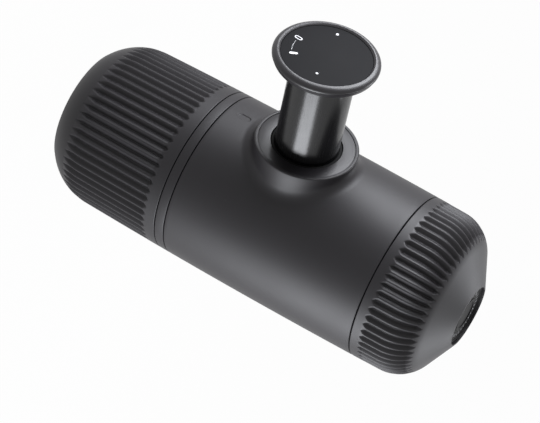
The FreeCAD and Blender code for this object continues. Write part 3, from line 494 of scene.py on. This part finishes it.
@made_once
def polished(name, base):
    """Polished black plastic: fine scratches along the sleeve and a breath of dust."""
    finish = Finish(name, Specular_IOR_Level=0.45)
    scratch = finish.noise(0.12 * MM, 3.0, stretch=(1, 0.02, 1))
    cloud = finish.noise(9 * MM, 3.0)
    tone = finish.mix(cloud, shade(base, 0.8), shade(base, 1.3))
    rough = 0.23 + 0.06 * (cloud - 0.5) + 0.10 * scratch.between(0.55, 0.75)
    return finish.set(Base_Color=tone, Roughness=rough, Normal=finish.bump(scratch, 0.0015 * MM))


@made_once
def rubbery(name, base, roughness=0.62, specular=0.3):
    """Rubber or silicone: matt, with a soft bloom and fine pores."""
    finish = Finish(name, Specular_IOR_Level=specular)
    pore = finish.noise(0.15 * MM, 2.0)
    bloom = finish.noise(4 * MM, 4.0)
    tone = finish.mix(bloom.between(0.35, 0.75), base, shade(base, 1.7))
    rough = roughness + 0.12 * (bloom - 0.5)
    return finish.set(Base_Color=tone, Roughness=rough, Normal=finish.bump(pore, 0.006 * MM))


@made_once
def brushed(name, base):
    """Stainless steel brushed round the barrel's axis, with faint stains."""
    finish = Finish(name, Metallic=1.0)
    brush = finish.noise(0.4 * MM, 4.0, stretch=(1, 1, 14))
    stain = finish.noise(6 * MM, 4.0)
    tone = finish.mix(stain.between(0.4, 0.8), base, shade(base, 0.78))
    rough = 0.28 + 0.14 * (brush - 0.5) + 0.10 * stain.between(0.5, 0.8)
    return finish.set(Base_Color=tone, Roughness=rough, Normal=finish.bump(brush, 0.003 * MM))


@made_once
def inked(name, base):
    """Pad-printed ink: thin in places, with a grain that lets the plastic through a little."""
    finish = Finish(name, Specular_IOR_Level=0.3)
    thin = finish.noise(0.25 * MM, 3.0).between(0.62, 0.8)
    tone = finish.mix(thin * 0.5, base, shade(base, 0.45))
    return finish.set(Base_Color=tone, Roughness=0.55 + 0.2 * thin, Normal=finish.bump(thin, 0.004 * MM))


def body_finish():
    return moulded("satin_body", colours().body, 0.5)


# Pieces, one operator each.


class ESPRESSO_OT_cup(bpy.types.Operator):
    """Drinking cup: corner arc and long barrel curve turned to a shell, with flutes sunk in it"""

    bl_idname = "espresso.cup"
    bl_label = "Drinking cup"

    def execute(self, context):
        size = sizes()
        shoulder, corner = size.cup_shoulder, size.cup_corner
        flutes_low, flutes_high, phase = 8.4 * MM, 44.6 * MM, 2.0
        bevel, wall, floor = 0.4 * MM, 1.8 * MM, 2.4 * MM
        mouth, mouth_depth = 28.9 * MM, 14 * MM
        top = CUP_TOP - size.seam_round
        centre = barrel(shoulder) - corner
        start = -math.asin((shoulder - bevel) / corner)
        heights = np.linspace(shoulder, top, 400)[1:]
        line = np.concatenate([
            arc((centre, shoulder), corner, start, 0), np.stack([barrel(heights), heights], 1),
        ])
        bend = -start * corner
        first = bend - corner * math.asin((shoulder - flutes_low) / corner)
        last = bend + flutes_high - shoulder
        end = bend + top - shoulder
        spans = [(0, bend, 20), (bend, end, 8)]
        foot = line[0, 0]
        before = rounded([(0, 0, 0), (foot - bevel, 0, 0.3 * MM), (foot, bevel, 0)], False, 4)[:-1]
        inner = corner - wall
        rim = rounded([
            (barrel(top), top, 0), (barrel(CUP_TOP), CUP_TOP, size.seam_round * 0.9),
            (mouth, CUP_TOP, 0.3 * MM), (mouth, CUP_TOP - mouth_depth, 0.3 * MM),
            (barrel(shoulder) - wall, shoulder, 0),
        ], False)[1:]
        well = arc((centre, shoulder), inner, -0.1, -math.asin((shoulder - floor - bevel) / inner), 12)
        after = np.concatenate([rim, well, [(well[-1, 0] - 2 * bevel, floor), (0, floor)]])
        flutes = (first, size.flute_fade), (last, size.flute_stop)
        piece = fluted_piece("cup", before, line, after, flutes, phase, spans, (14, 12))
        fit(piece, "cup", "body_plastic", body_finish(), "drinking_cup")
        return {"FINISHED"}


class ESPRESSO_OT_portafilter(bpy.types.Operator):
    """Portafilter: plain visible ring, skirt with its O-ring, threaded collar and bowl"""

    bl_idname = "espresso.portafilter"
    bl_label = "Portafilter"

    def execute(self, context):
        size = sizes()
        base = CUP_TOP + size.seam
        top = HOUSING_LOW - size.seam
        neck, wall, bowl, port, thread = 28.4 * MM, 2 * MM, 21.6 * MM, 1.9 * MM, 26 * MM
        floor = 42.6 * MM
        seat, seat_depth = 22.4 * MM, 1.2 * MM
        groove, half, deep = (base + NECK_LOW) / 2, 1 * MM, 1 * MM
        before = rounded([
            (port, floor, 0), (bowl + wall, floor, 0.8 * MM), (bowl + wall, base, 0.3 * MM),
            (neck - wall, base, 0.3 * MM), (neck - wall, NECK_LOW, 0.4 * MM), (neck, NECK_LOW, 0.6 * MM),
            (neck, groove - half, 0.15 * MM), (neck - deep, groove - half, 0.15 * MM),
            (neck - deep, groove + half, 0.15 * MM), (neck, groove + half, 0.15 * MM),
            (neck, base, 0), (barrel(base), base, size.seam_round), (barrel(top), top, size.seam_round),
            (thread + 0.3 * MM, top, 0),
        ], False)
        after = rounded([
            (seat, THREAD_TOP, 0), (seat, THREAD_TOP - seat_depth, 0),
            (bowl, THREAD_TOP - seat_depth, 0.2 * MM), (bowl, floor + wall, 1.2 * MM),
            (port, floor + wall, 0),
        ], False)
        piece = threaded_piece("portafilter", before, thread, (top, THREAD_TOP), after)
        fit(piece, "portafilter", "body_plastic", body_finish(), "portafilter_body")
        near, far, side = 27.45 * MM, 28.84 * MM, 0.7 * MM
        seal = turned("grip_ring", [
            (near, groove - side, 0.2 * MM), (far, groove - side, 0.65 * MM),
            (far, groove + side, 0.65 * MM), (near, groove + side, 0.2 * MM),
        ])
        silicone = rubbery("silicone", colours().silicone)
        fit(seal, "portafilter", "seal_silicone", silicone, "cup_grip_ring")
        return {"FINISHED"}


def capsule_sink(turn, z):
    """Depth of the small sunk capsule beside the collar, D (1 - 3 t^2 + 2 t^3). t goes from 0 to 1
    up the capsule's wall with the distance sqrt(s^2 + max(|z - m| - h, 0)^2) from its middle line,
    where s goes round the barrel."""
    middle, middle_turn, half = 59.4 * MM, math.radians(-2.3), 1.3 * MM
    radius, wall, depth = 1.0 * MM, 0.35 * MM, 0.3 * MM
    s = (turn - middle_turn) * BARREL_RADIUS
    reach = np.hypot(s, (abs(z - middle) - half).clip(0))
    t = ((reach - radius) / wall).clip(0, 1)
    return depth * (1 - t * t * (3 - 2 * t))


def wall_point(turn, z, radius):
    """Points of a round wall; turn is the angle from the plunger's side towards +X."""
    turn, z, radius = np.broadcast_arrays(turn, z, radius)
    return np.stack([radius * np.sin(turn), -radius * np.cos(turn), z], -1)


def housing_grids():
    """Grids of the housing: a patch round the collar, the rest of the wall and the two rims.

    Every point of the patch has an angle a round the plunger's axis. Outside the collar's blend it
    goes in a straight line of the unrolled barrel from a rectangle's edge to the blend. The blend
    is the surface that a ball of radius b(a) leaves when it rolls against wall and barrel: its
    centre C is at distance lip + b from the plunger's axis and barrel + b from the barrel's axis,
    and the surface is C + b u, with u turning evenly from the wall to the barrel.
    """
    size = sizes()
    count, lip, edge = 320, size.lip_radius, size.seam_round
    hollow = 28.4 * MM
    step = 360 / count
    beside_capsule = np.arange(232, 243, 0.25) * step
    a = np.radians(np.unique(np.concatenate([np.arange(count) * step, beside_capsule]).round(6)))
    cosine, sine = np.cos(a), np.sin(a)
    ball = size.blend_ends + (size.blend_sides - size.blend_ends) * cosine ** 2
    far = lip + ball
    height = PLUNGER_HEIGHT + far * sine
    around = barrel(height)
    centre = np.stack([far * cosine, -np.sqrt((around + ball) ** 2 - (far * cosine) ** 2), height], 1)
    to_wall = np.stack([-cosine, 0 * a, -sine], 1)
    to_barrel = np.stack([-centre[:, 0], -centre[:, 1], 0 * a], 1) / (around + ball)[:, None]
    opening = np.arccos((to_wall * to_barrel).sum(1))[:, None]

    def blend(t):
        u = (np.sin((1 - t) * opening) * to_barrel + np.sin(t * opening) * to_wall) / np.sin(opening)
        return centre + ball[:, None] * u

    touch = blend(0.0)
    turn = np.arctan2(touch[:, 0], -touch[:, 1])
    bottom, top = HOUSING_LOW + edge, HOUSING_HIGH - edge
    box = np.maximum(abs(cosine), abs(sine))
    width = math.radians(62)
    corner_turn = width * cosine / box
    room = np.where(sine > 0, top - PLUNGER_HEIGHT, PLUNGER_HEIGHT - bottom)
    corner_height = PLUNGER_HEIGHT + sine / box * room

    rows = []
    for t in np.concatenate([np.linspace(0, 0.3, 5), np.linspace(0.34, 0.95, 42), [0.975, 1]]):
        z = corner_height + (touch[:, 2] - corner_height) * t
        row_turn = corner_turn + (turn - corner_turn) * t
        rows.append(wall_point(row_turn, z, barrel(z) - capsule_sink(row_turn, z)))
    rows += [blend(t) for t in np.linspace(0, 1, 18)[1:]]

    def collar_ring(radius, y):
        return np.stack([radius * cosine, y + 0 * a, PLUNGER_HEIGHT + radius * sine], 1)

    lip_round, groove, shelf, bore, shelf_back = 0.5 * MM, 16.7 * MM, 15.8 * MM, 14.8 * MM, 29.5 * MM
    face = LIP_REACH - lip_round
    start = rows[-1][:, 1]
    rows += [collar_ring(lip, start + (-face - start) * t) for t in (0.33, 0.67, 1.0)]
    for t in np.linspace(0, math.pi / 2, 6)[1:]:
        rows.append(collar_ring(lip - lip_round * (1 - math.cos(t)), -face - lip_round * math.sin(t)))
    for radius, reach in (
        (groove + 0.15 * MM, LIP_REACH), (groove + 0.02 * MM, LIP_REACH - 0.04 * MM),
        (groove, LIP_REACH - 0.15 * MM), (groove, PLATE_BACK), (shelf, PLATE_BACK), (shelf, shelf_back),
        (bore, shelf_back),
    ):
        rows.append(collar_ring(radius, -reach))
    mouth = collar_ring(bore, -np.sqrt(hollow ** 2 - (bore * cosine) ** 2))
    inside_turn = np.arctan2(mouth[:, 0], -mouth[:, 1])
    rows.append(mouth)
    for t in np.linspace(0, 1, 8)[1:]:
        z = mouth[:, 2] + (corner_height - mouth[:, 2]) * t
        rows.append(wall_point(inside_turn + (corner_turn - inside_turn) * t, z, hollow))
    patch = np.stack(rows)

    eighth, near = math.pi / 4, 1e-6
    side = corner_height[np.concatenate([np.flatnonzero(a >= 7 * eighth - near),
                                         np.flatnonzero(a <= eighth + near)])][:, None]
    back = np.linspace(width, 2 * math.pi - width, 121)
    outer = wall_point(back, side, barrel(side))
    inner = wall_point(back, side[::-1], hollow)

    def seam_edge(z, way):
        return [(barrel(z) - edge * (1 - math.cos(t)), z + way * edge * math.sin(t))
                for t in np.linspace(0, math.pi / 2, 5)]

    upper = np.array([*seam_edge(top, 1), (hollow, HOUSING_HIGH), (hollow, top)])
    lower = np.array([(hollow, bottom), (hollow, HOUSING_LOW), *seam_edge(bottom, -1)[::-1]])
    above, below = (abs(a - middle) <= eighth + near for middle in (2 * eighth, 6 * eighth))
    rims = []
    for path, front in ((upper, corner_turn[above][::-1]), (lower, corner_turn[below])):
        whole = np.concatenate([front, back[1:-1]])
        rims.append(wall_point(whole, path[:, 1:], path[:, :1]))
    return [(patch, False, True), (outer, False, False), (inner, False, False),
            (rims[0], False, True), (rims[1], False, True)]


class ESPRESSO_OT_housing(bpy.types.Operator):
    """Main housing: barrel wall with the plunger's collar blended into it by a rolling ball"""

    bl_idname = "espresso.housing"
    bl_label = "Main housing"

    def execute(self, context):
        piece = piece_from("housing", housing_grids())
        fit(piece, "housing", "body_plastic", body_finish(), "main_housing")
        return {"FINISHED"}


class ESPRESSO_OT_collar(bpy.types.Operator):
    """Collar plate and rubber wiper ring, turned round the plunger's axis"""

    bl_idname = "espresso.collar"
    bl_label = "Collar plate and wiper"

    def execute(self, context):
        wiper = sizes().wiper_radius
        inner = sizes().sleeve_radius + 0.06 * MM
        hole, rim = wiper + 0.1 * MM, 16.65 * MM
        plate = turned("collar_ring", [
            (hole, PLATE_BACK, 0), (rim, PLATE_BACK, 0),
            (rim, PLATE_REACH, 0.15 * MM), (hole, PLATE_REACH, 0.06 * MM),
        ], plunger=True, columns=160)
        smooth = moulded("satin_plate", colours().body, 0.32, specular=0.25)
        fit(plate, "housing", "body_plastic", smooth, "collar_plate")
        flange, foot = 15.7 * MM, PLATE_BACK - 1.2 * MM
        lip = turned("wiper", [
            (inner, foot, 0), (flange, foot, 0.2 * MM), (flange, PLATE_BACK, 0.1 * MM),
            (wiper, PLATE_BACK, 0), (wiper, WIPER_REACH, 0.5 * MM), (inner, WIPER_REACH, 0.2 * MM),
        ], plunger=True, columns=160)
        rubber = rubbery("rubber", colours().rubber, 0.7, 0.09)
        fit(lip, "housing", "wiper_rubber", rubber, "wiper_ring")
        return {"FINISHED"}


class ESPRESSO_OT_sleeve(bpy.types.Operator):
    """Polished plunger sleeve with its inner flange and the two lugs of the lock"""

    bl_idname = "espresso.sleeve"
    bl_label = "Plunger sleeve"

    def execute(self, context):
        radius = sizes().sleeve_radius
        bore, flange = radius - SLEEVE_WALL, 12.4 * MM
        outer_end = -lowest("piston_sleeve").y
        inner_end = -highest("piston_sleeve").y
        front = inner_end + 2 * MM
        tube = on_plunger(lathe(rounded([
            (bore, inner_end, 0.2 * MM), (flange, inner_end, 0.3 * MM), (flange, front, 0.3 * MM),
            (radius, front, 0.2 * MM), (radius, outer_end, 0.2 * MM), (bore, outer_end, 0.2 * MM),
        ]), ring(160)))
        near, far = flange - 0.5 * MM, highest("piston_sleeve").x
        lugs = [(lug_grid(side, near, far, front, inner_end), False, True) for side in (1, -1)]
        piece = piece_from("sleeve", [(tube, True, True), *lugs])
        gloss = polished("gloss_sleeve", colours().sleeve)
        fit(piece, "knob_group", "sleeve_gloss", gloss, "piston_sleeve")
        return {"FINISHED"}


def lug_grid(side, near, far, front, back):
    """A block from near to far along X: a rounded outline in Y and Z, pulled shut at both ends."""
    half, bevel = 3 * MM, 0.4 * MM
    section = rounded([(-front, -half, bevel), (-back, -half, bevel), (-back, half, bevel),
                       (-front, half, bevel)])
    middle = section.mean(0)
    rows = []
    for x, share in ((near, 0), (near, 1), (far - bevel, 1), (far, 0.85), (far, 0)):
        spot = middle + (section - middle) * share
        rows.append(np.stack([np.full(len(spot), side * x), spot[:, 0], PLUNGER_HEIGHT + spot[:, 1]], 1))
    return np.stack(rows if side > 0 else rows[::-1])


class ESPRESSO_OT_knob(bpy.types.Operator):
    """Knob: rim with a full rounded edge, inset face and the printed lock marks"""

    bl_idname = "espresso.knob"
    bl_label = "Knob"

    def execute(self, context):
        sleeve = sizes().sleeve_radius
        bore, rim = sleeve - SLEEVE_WALL, FACE_RADIUS + 0.05 * MM
        hollow, foot, well, hole = 13.4 * MM, 17 * MM, 3.7 * MM, 1.8 * MM
        face_back = FACE_REACH - 0.9 * MM
        hollow_end, well_end, ledge = KNOB_BACK + 1.6 * MM, KNOB_BACK + 1 * MM, face_back - 0.6 * MM
        knob = turned("knob_rim", [
            (sleeve, hollow_end, 0.1 * MM), (hollow, hollow_end, 0.3 * MM),
            (hollow, KNOB_BACK, 0.3 * MM), (foot, KNOB_BACK, 0.5 * MM),
            (KNOB_RADIUS - 0.45 * MM, KNOB_BACK + 1.4 * MM, 0.6 * MM),
            (KNOB_RADIUS, KNOB_TOP - 1.7 * MM, 0.6 * MM),
            (KNOB_RADIUS - 0.35 * MM, KNOB_TOP - 0.8 * MM, 0.45 * MM),
            (16.7 * MM, KNOB_TOP, 0.75 * MM), (16 * MM, KNOB_TOP, 0.34 * MM),
            (rim, FACE_REACH + 0.12 * MM, 0.25 * MM), (rim, face_back, 0),
            (well, face_back, 0.1 * MM), (well, well_end, 0.1 * MM), (hole, well_end, 0),
            (hole, KNOB_BACK, 0), (bore, KNOB_BACK, 0.1 * MM), (bore, ledge, 0), (sleeve, ledge, 0),
        ], plunger=True, columns=192)
        rim_finish = moulded("satin_knob", colours().knob, 0.36, specular=0.38)
        fit(knob, "knob_group", "knob_plastic", rim_finish, "knob")
        face = turned("knob_disc", [
            (0, face_back, 0), (FACE_RADIUS, face_back, 0), (FACE_RADIUS, FACE_REACH, 0.12 * MM),
            (0, FACE_REACH, 0),
        ], plunger=True, closed=False, columns=160)
        face_finish = moulded("satin_face", colours().face, 0.6, grain=0.14 * MM, specular=0.055)
        fit(face, "knob_group", "knob_face_plastic", face_finish, "knob_face")
        marks = piece_from("knob_marks", mark_grids())
        fit(marks, "knob_group", "knob_face_plastic", inked("ink", colours().ink))
        return {"FINISHED"}


def stadium(middle, half, radius, turn, count=40):
    """Outline of a bar with round ends: a circle whose two halves are half apart along turn."""
    angle = ring(count)
    spot = radius * np.stack([np.cos(angle), np.sin(angle)], 1)
    spot[:, 0] += half * np.sign(np.cos(angle) + 1e-9)
    cosine, sine = math.cos(turn), math.sin(turn)
    return spot @ np.array([[cosine, sine], [-sine, cosine]]) + middle


def spot(reach, degrees):
    """A point (x, y) at so many millimetres from the axis."""
    return reach * MM * np.array([math.cos(math.radians(degrees)), math.sin(math.radians(degrees))])


def printed(outline, surface, inner=None):
    """A thin layer of ink on a surface at height z: an outline just under and just over it, pulled
    shut to its middle, or to an inner outline for an open mark."""
    middle = outline * 0 + outline.mean(0) if inner is None else inner
    under, over = surface - 0.02 * MM, surface + 0.03 * MM
    rows = [(middle, under), (outline, under), (outline, over), (middle, over)]
    return np.stack([np.column_stack([row, np.full(len(row), z)]) for row, z in rows])


def mark_grids():
    """Printed marks on the knob: a bar for locked, an open bar for unlocked, and dots between."""
    locked, unlocked = (11.0, -54), (11.75, -96.5)
    bar_half, bar_radius, bar_lean = 0.9 * MM, 0.5 * MM, -3
    open_half, open_outer, open_inner = 0.7 * MM, 0.72 * MM, 0.42 * MM
    outlines = [stadium(spot(*locked), bar_half, bar_radius, math.radians(locked[1] + bar_lean))]
    for degrees in np.linspace(unlocked[1] + 10.5, locked[1] - 10, 7):
        outlines.append(stadium(spot(11.6, degrees), 0, 0.15 * MM, 0, 12))
    for reach, degrees, radius in ((12.1, -165.7, 0.5), (10.2, 11.9, 0.42)):
        outlines.append(stadium(spot(reach, degrees), 0, radius * MM, 0, 24))
    grids = [(on_plunger(printed(outline, FACE_REACH)), False, True) for outline in outlines]
    outer, inner = (stadium(spot(*unlocked), open_half, radius, math.radians(unlocked[1]))
                    for radius in (open_outer, open_inner))
    grids.append((on_plunger(printed(outer, FACE_REACH, inner)), True, True))
    return grids


class ESPRESSO_OT_tank(bpy.types.Operator):
    """Water tank: fluted dome, and the threaded neck that screws into the housing"""

    bl_idname = "espresso.tank"
    bl_label = "Water tank"

    def execute(self, context):
        size = sizes()
        shoulder, corner, slope = size.tank_shoulder, size.tank_corner, size.tank_slope
        edge = size.seam_round
        bottom = HOUSING_HIGH + size.seam
        neck, bore, end = 27 * MM, 25.4 * MM, 11.5 * MM
        wall, roof_wall, bevel, recess_round = 1.8 * MM, 2.6 * MM, 0.35 * MM, 0.5 * MM
        flutes_low, flutes_high, phase = 130.9 * MM, shoulder + 10.9 * MM, 4.7
        step = bottom + 8 * MM
        skirt = barrel(bottom) - wall
        centre = barrel(shoulder) - corner
        lean = math.pi / 2 - slope
        ceiling = TANK_TOP - roof_wall / math.cos(slope)
        inner = corner - roof_wall
        heights = np.linspace(bottom + edge, shoulder, 200)[:-1]
        line = np.concatenate([
            np.stack([barrel(heights), heights], 1), arc((centre, shoulder), corner, 0, lean),
            [(end + bevel, TANK_TOP - bevel * math.tan(slope))],
        ])
        straight = shoulder - bottom - edge
        bent = straight + corner * lean
        flutes = ((flutes_low - bottom - edge, size.flute_stop),
                  (straight + corner * math.asin((flutes_high - shoulder) / corner), size.flute_tip))
        spans = [(0, straight, 5), (straight, bent, 22), (bent, bent + 20 * MM, 6)]
        roof = arc((centre, shoulder), inner, lean, math.acos((bore - centre) / inner), 8)
        before = np.concatenate([[(0, ceiling), (end, ceiling)], roof, [(bore, step)], rounded([
            (skirt, step, 0), (skirt, bottom, 0.3 * MM), (barrel(bottom), bottom, edge * 0.9),
            (*line[0], 0),
        ], False)[:-1]])
        rim = rounded([
            (*line[-1], 0), (end, TANK_TOP, 0.25 * MM), (end - recess_round, TANK_TOP, 0.15 * MM),
            (end - recess_round, DISC_LOW, 0), (0, DISC_LOW, 0),
        ], False)[1:]
        piece = fluted_piece("tank", before, line, rim, flutes, phase, spans, (12, 14))
        fit(piece, "tank", "body_plastic", body_finish(), "water_tank")
        overlap, chamfer = 0.5 * MM, 0.2 * MM
        foot = np.array([(bore, step + overlap), (bore, TANK_RIM + chamfer), (bore + chamfer, TANK_RIM)])
        collar = threaded_piece("tank_neck", foot, neck, (TANK_RIM, step), [(neck, step + overlap)])
        fit(collar, "tank", "body_plastic", body_finish())
        return {"FINISHED"}


class ESPRESSO_OT_end_disc(bpy.types.Operator):
    """Dark disc in the tank's end, with turned ribs and a ring of plain printed ticks"""

    bl_idname = "espresso.end_disc"
    bl_label = "End disc"

    def execute(self, context):
        radius, top, low = DISC_RADIUS, DISC_TOP, DISC_TOP - 0.35 * MM
        ribs = (9.9, top), (9.7, low), (6.4, low), (6.2, top), (5.2, top), (5.0, low)
        piece = turned("end_disc", [
            (0, DISC_LOW, 0), (radius, DISC_LOW, 0), (radius, top, 0.2 * MM),
            *((reach * MM, height, 0.1 * MM) for reach, height in ribs), (0, low, 0),
        ], 160, closed=False)
        disc_finish = moulded("satin_disc", shade(colours().inner, 0.1), 0.5, specular=0.07)
        fit(piece, "tank", "end_disc_plastic", disc_finish, "tank_end_disc")
        ticks = [stadium(spot(8.05, degrees), 0.45 * MM, 0.16 * MM, math.radians(degrees), 12)
                 for degrees in range(0, 360, 12)]
        marks = piece_from("disc_marks", [(printed(tick, low), False, True) for tick in ticks])
        fit(marks, "tank", "end_disc_plastic", inked("ink", colours().ink))
        return {"FINISHED"}


def coil_grid(radius, wire, low, high, turns):
    """Round wire of a compression spring: a tube round the line (R cos a, R sin a, h).

    h rises by one wire a turn in the closed end turns and evenly between them. The tube is ground
    flat at both ends, and pulled shut where the wire stops.
    """
    rows_a_turn, closed_turns, opening = 40, 0.75, 0.35
    section = ring(16)
    turn = np.linspace(0, turns, round(turns * rows_a_turn) + 1)
    t = ((np.minimum(turn, turns - turn) - closed_turns) / opening).clip(0, 1)
    wound = t * t * (3 - 2 * t)
    rise = high - low - wire / 2
    shut = (1 - wound.mean()) * turns * wire
    pace = (1 - wound) * wire + wound * (rise - shut) / (wound.mean() * turns)
    height = np.concatenate([[0], np.cumsum(pace[1:] + pace[:-1])])
    height = low + wire / 4 + height * rise / height[-1]
    width = np.pad(np.full(len(turn), wire / 2), 1)[:, None]
    turn, height = (np.pad(line, 1, "edge")[:, None] for line in (turn, height))
    across = radius + width * np.cos(section)
    up = (height - width * np.sin(section)).clip(low, high)
    angle = turn * 2 * math.pi
    return np.stack([across * np.cos(angle), across * np.sin(angle), up], -1)


class ESPRESSO_OT_springs(bpy.types.Operator):
    """Springs: round wire with closed, flat ends"""

    bl_idname = "espresso.springs"
    bl_label = "Springs"

    def execute(self, context):
        size = sizes()
        play = 0.02 * MM
        for name, body, joint, wire, turns in (
            ("return", "housing", "plunger_press", size.spring_wire, 5.5),
            ("crema", "portafilter", "crema_valve_open", size.valve_wire, 4.5),
            ("outlet", "housing", "outlet_valve_open", size.valve_wire, 4.5),
        ):
            low, high = lowest(f"{name}_spring"), highest(f"{name}_spring")
            radius = high.x - wire / 2
            if name == "return":
                axis, seat, span = (0, 1, 0), (0, high.y, PLUNGER_HEIGHT), high.y - low.y
                points = on_plunger(coil_grid(radius, wire, play - high.y, -low.y - play, turns))
            else:
                axis, seat, span = (0, 0, 1), (0, (low.y + high.y) / 2, low.z), high.z - low.z
                points = coil_grid(radius, wire, low.z + play, high.z - play, turns)
                points[..., 1] += seat[1]
            piece = piece_from(f"{name}_coil", [(points, False, True)])
            fit(piece, body, "steel", brushed("brushed_steel", colours().steel), f"{name}_spring")
            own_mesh(piece)
        return {"FINISHED"}


class ESPRESSO_OT_inside(bpy.types.Operator):
    """Finishes of the inner pieces: frame mouldings, steel sheet, screws, valves and seals"""

    bl_idname = "espresso.inside"
    bl_label = "Inner pieces"

    def execute(self, context):
        moulding = moulded("satin_frame", colours().inner, 0.5)
        steel = brushed("brushed_steel", colours().steel)
        silicone = rubbery("silicone", colours().silicone)
        finishes = {
            moulding: ("guide_bush", "pump_body", "pump_gland", "outlet_plug", "inlet_seat",
                       "group_head", "tank_socket", "plunger_head", "spout"),
            steel: ("filter_basket", "shower_screen", "screen_screw", "socket_screws", "inlet_strainer",
                    "plunger_rod", "rod_screw", "spring_washer"),
            silicone: ("plunger_seal", "tank_seal", "portafilter_gasket", "crema_valve", "inlet_valve",
                       "outlet_valve"),
        }
        for finish, names in finishes.items():
            for name in names:
                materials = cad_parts[name].data.materials
                materials.clear()
                materials.append(finish)
        return {"FINISHED"}


class ESPRESSO_OT_studio(bpy.types.Operator):
    """Studio: pale floor and surround, a soft light on each side, and the camera"""

    bl_idname = "espresso.studio"
    bl_label = "Studio"

    def execute(self, context):
        half = 4.0
        corner = np.array([[[-half, -half, 0], [half, -half, 0]], [[-half, half, 0], [half, half, 0]]])
        floor = piece_from("floor", [(corner, False, False)])
        floor.data.materials.append(floor_finish())
        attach(floor, "cup")
        surround(context.scene)
        for side, azimuth, height, watts, behind in (
            ("left", -116, 98, 1.7, 163), ("right", 37, 108, 1.33, 106),
        ):
            softbox(f"light_{side}", azimuth, 270 * MM, height * MM, (190 * MM, 195 * MM), watts)
            softbox(f"light_{side}_back", behind, 320 * MM, 470 * MM, (150 * MM, 150 * MM), 0.72)
        camera = bpy.data.cameras.new("camera")
        camera.lens = 132.53
        camera.sensor_width = 36
        viewer = bpy.data.objects.new("camera", camera)
        viewer.location = (464.73 * MM, -471.49 * MM, 277.96 * MM)
        target = Vector((-15.29 * MM, 17.45 * MM, 70.16 * MM))
        aim = (target - viewer.location).to_track_quat("-Z", "Y")
        viewer.rotation_mode = "QUATERNION"
        viewer.rotation_quaternion = aim @ Quaternion((0, 0, 1), math.radians(118.87))
        context.scene.collection.objects.link(viewer)
        context.scene.camera = viewer
        context.scene.view_settings.view_transform = "Standard"
        return {"FINISHED"}


def softbox(name, azimuth, distance, height, extent, watts):
    """A soft rectangular light at an azimuth, a distance and a height, facing the object's middle."""
    light = bpy.data.lights.new(name, "AREA")
    light.shape = "RECTANGLE"
    light.size, light.size_y = extent
    light.energy = watts
    light.color = (0.93, 0.95, 1)
    turn = math.radians(azimuth)
    lamp = bpy.data.objects.new(name, light)
    lamp.location = (distance * math.cos(turn), distance * math.sin(turn), height)
    way = Vector((0, 0, 0.08)) - lamp.location
    lamp.rotation_euler = way.to_track_quat("-Z", "Y").to_euler()
    lamp.visible_camera = False
    bpy.context.scene.collection.objects.link(lamp)


def floor_finish():
    """Pale floor: lit as it is for shadows, and mixed with plain white where it is looked at."""
    finish = Finish("floor_paint", Specular_IOR_Level=0.1)
    mottle = finish.noise(0.3, 3.0)
    tone = finish.mix(mottle, shade(colours().floor, 0.98), colours().floor)
    finish.set(Base_Color=tone, Roughness=0.8 + 0.05 * mottle)
    skin = Value(finish, finish.shader.outputs[0])
    glow = finish.node("ShaderNodeEmission", inputs={"Color": (1, 1, 1, 1), "Strength": 1.0})
    share = finish.white_rays() * 0.98
    mixed = finish.node("ShaderNodeMixShader", inputs={0: share, 1: skin, 2: glow})
    finish.show(mixed, "Material Output")
    return finish.material


def surround(scene):
    """White where the camera, a reflection or a clear part looks, and dim as a light."""
    world = bpy.data.worlds.new("surround")
    world.use_nodes = True
    nodes = Nodes(world.node_tree)
    dim = 0.03
    strength = dim + (1 - dim) * nodes.white_rays()
    white = {"Color": (1, 1, 1, 1), "Strength": strength}
    nodes.show(nodes.node("ShaderNodeBackground", inputs=white), "World Output")
    scene.world = world


STEPS = ("studio", "cup", "portafilter", "housing", "collar", "sleeve", "knob", "tank", "end_disc",
         "springs", "inside")


class ESPRESSO_PT_panel(bpy.types.Panel):
    """Sizes, colours and one button for each piece"""

    bl_idname = "ESPRESSO_PT_panel"
    bl_label = "Espresso maker"
    bl_space_type = "VIEW_3D"
    bl_region_type = "UI"
    bl_category = "Espresso"

    def draw(self, context):
        for settings in (context.scene.espresso_sizes, context.scene.espresso_colours):
            box = self.layout.box()
            for name in settings.__annotations__:
                box.prop(settings, name)
        for step in STEPS:
            self.layout.operator(f"espresso.{step}")


CLASSES = (
    EspressoSizes, EspressoColours, ESPRESSO_OT_cup, ESPRESSO_OT_portafilter, ESPRESSO_OT_housing,
    ESPRESSO_OT_collar, ESPRESSO_OT_sleeve, ESPRESSO_OT_knob, ESPRESSO_OT_tank, ESPRESSO_OT_end_disc,
    ESPRESSO_OT_springs, ESPRESSO_OT_inside, ESPRESSO_OT_studio, ESPRESSO_PT_panel,
)


def register():
    for item in CLASSES:
        bpy.utils.register_class(item)
    bpy.types.Scene.espresso_sizes = PointerProperty(type=EspressoSizes)
    bpy.types.Scene.espresso_colours = PointerProperty(type=EspressoColours)


def unregister():
    del bpy.types.Scene.espresso_colours
    del bpy.types.Scene.espresso_sizes
    for item in reversed(CLASSES):
        bpy.utils.unregister_class(item)


def main():
    register()
    for step in STEPS:
        getattr(bpy.ops.espresso, step)()


if __name__ == "__main__":
    main()
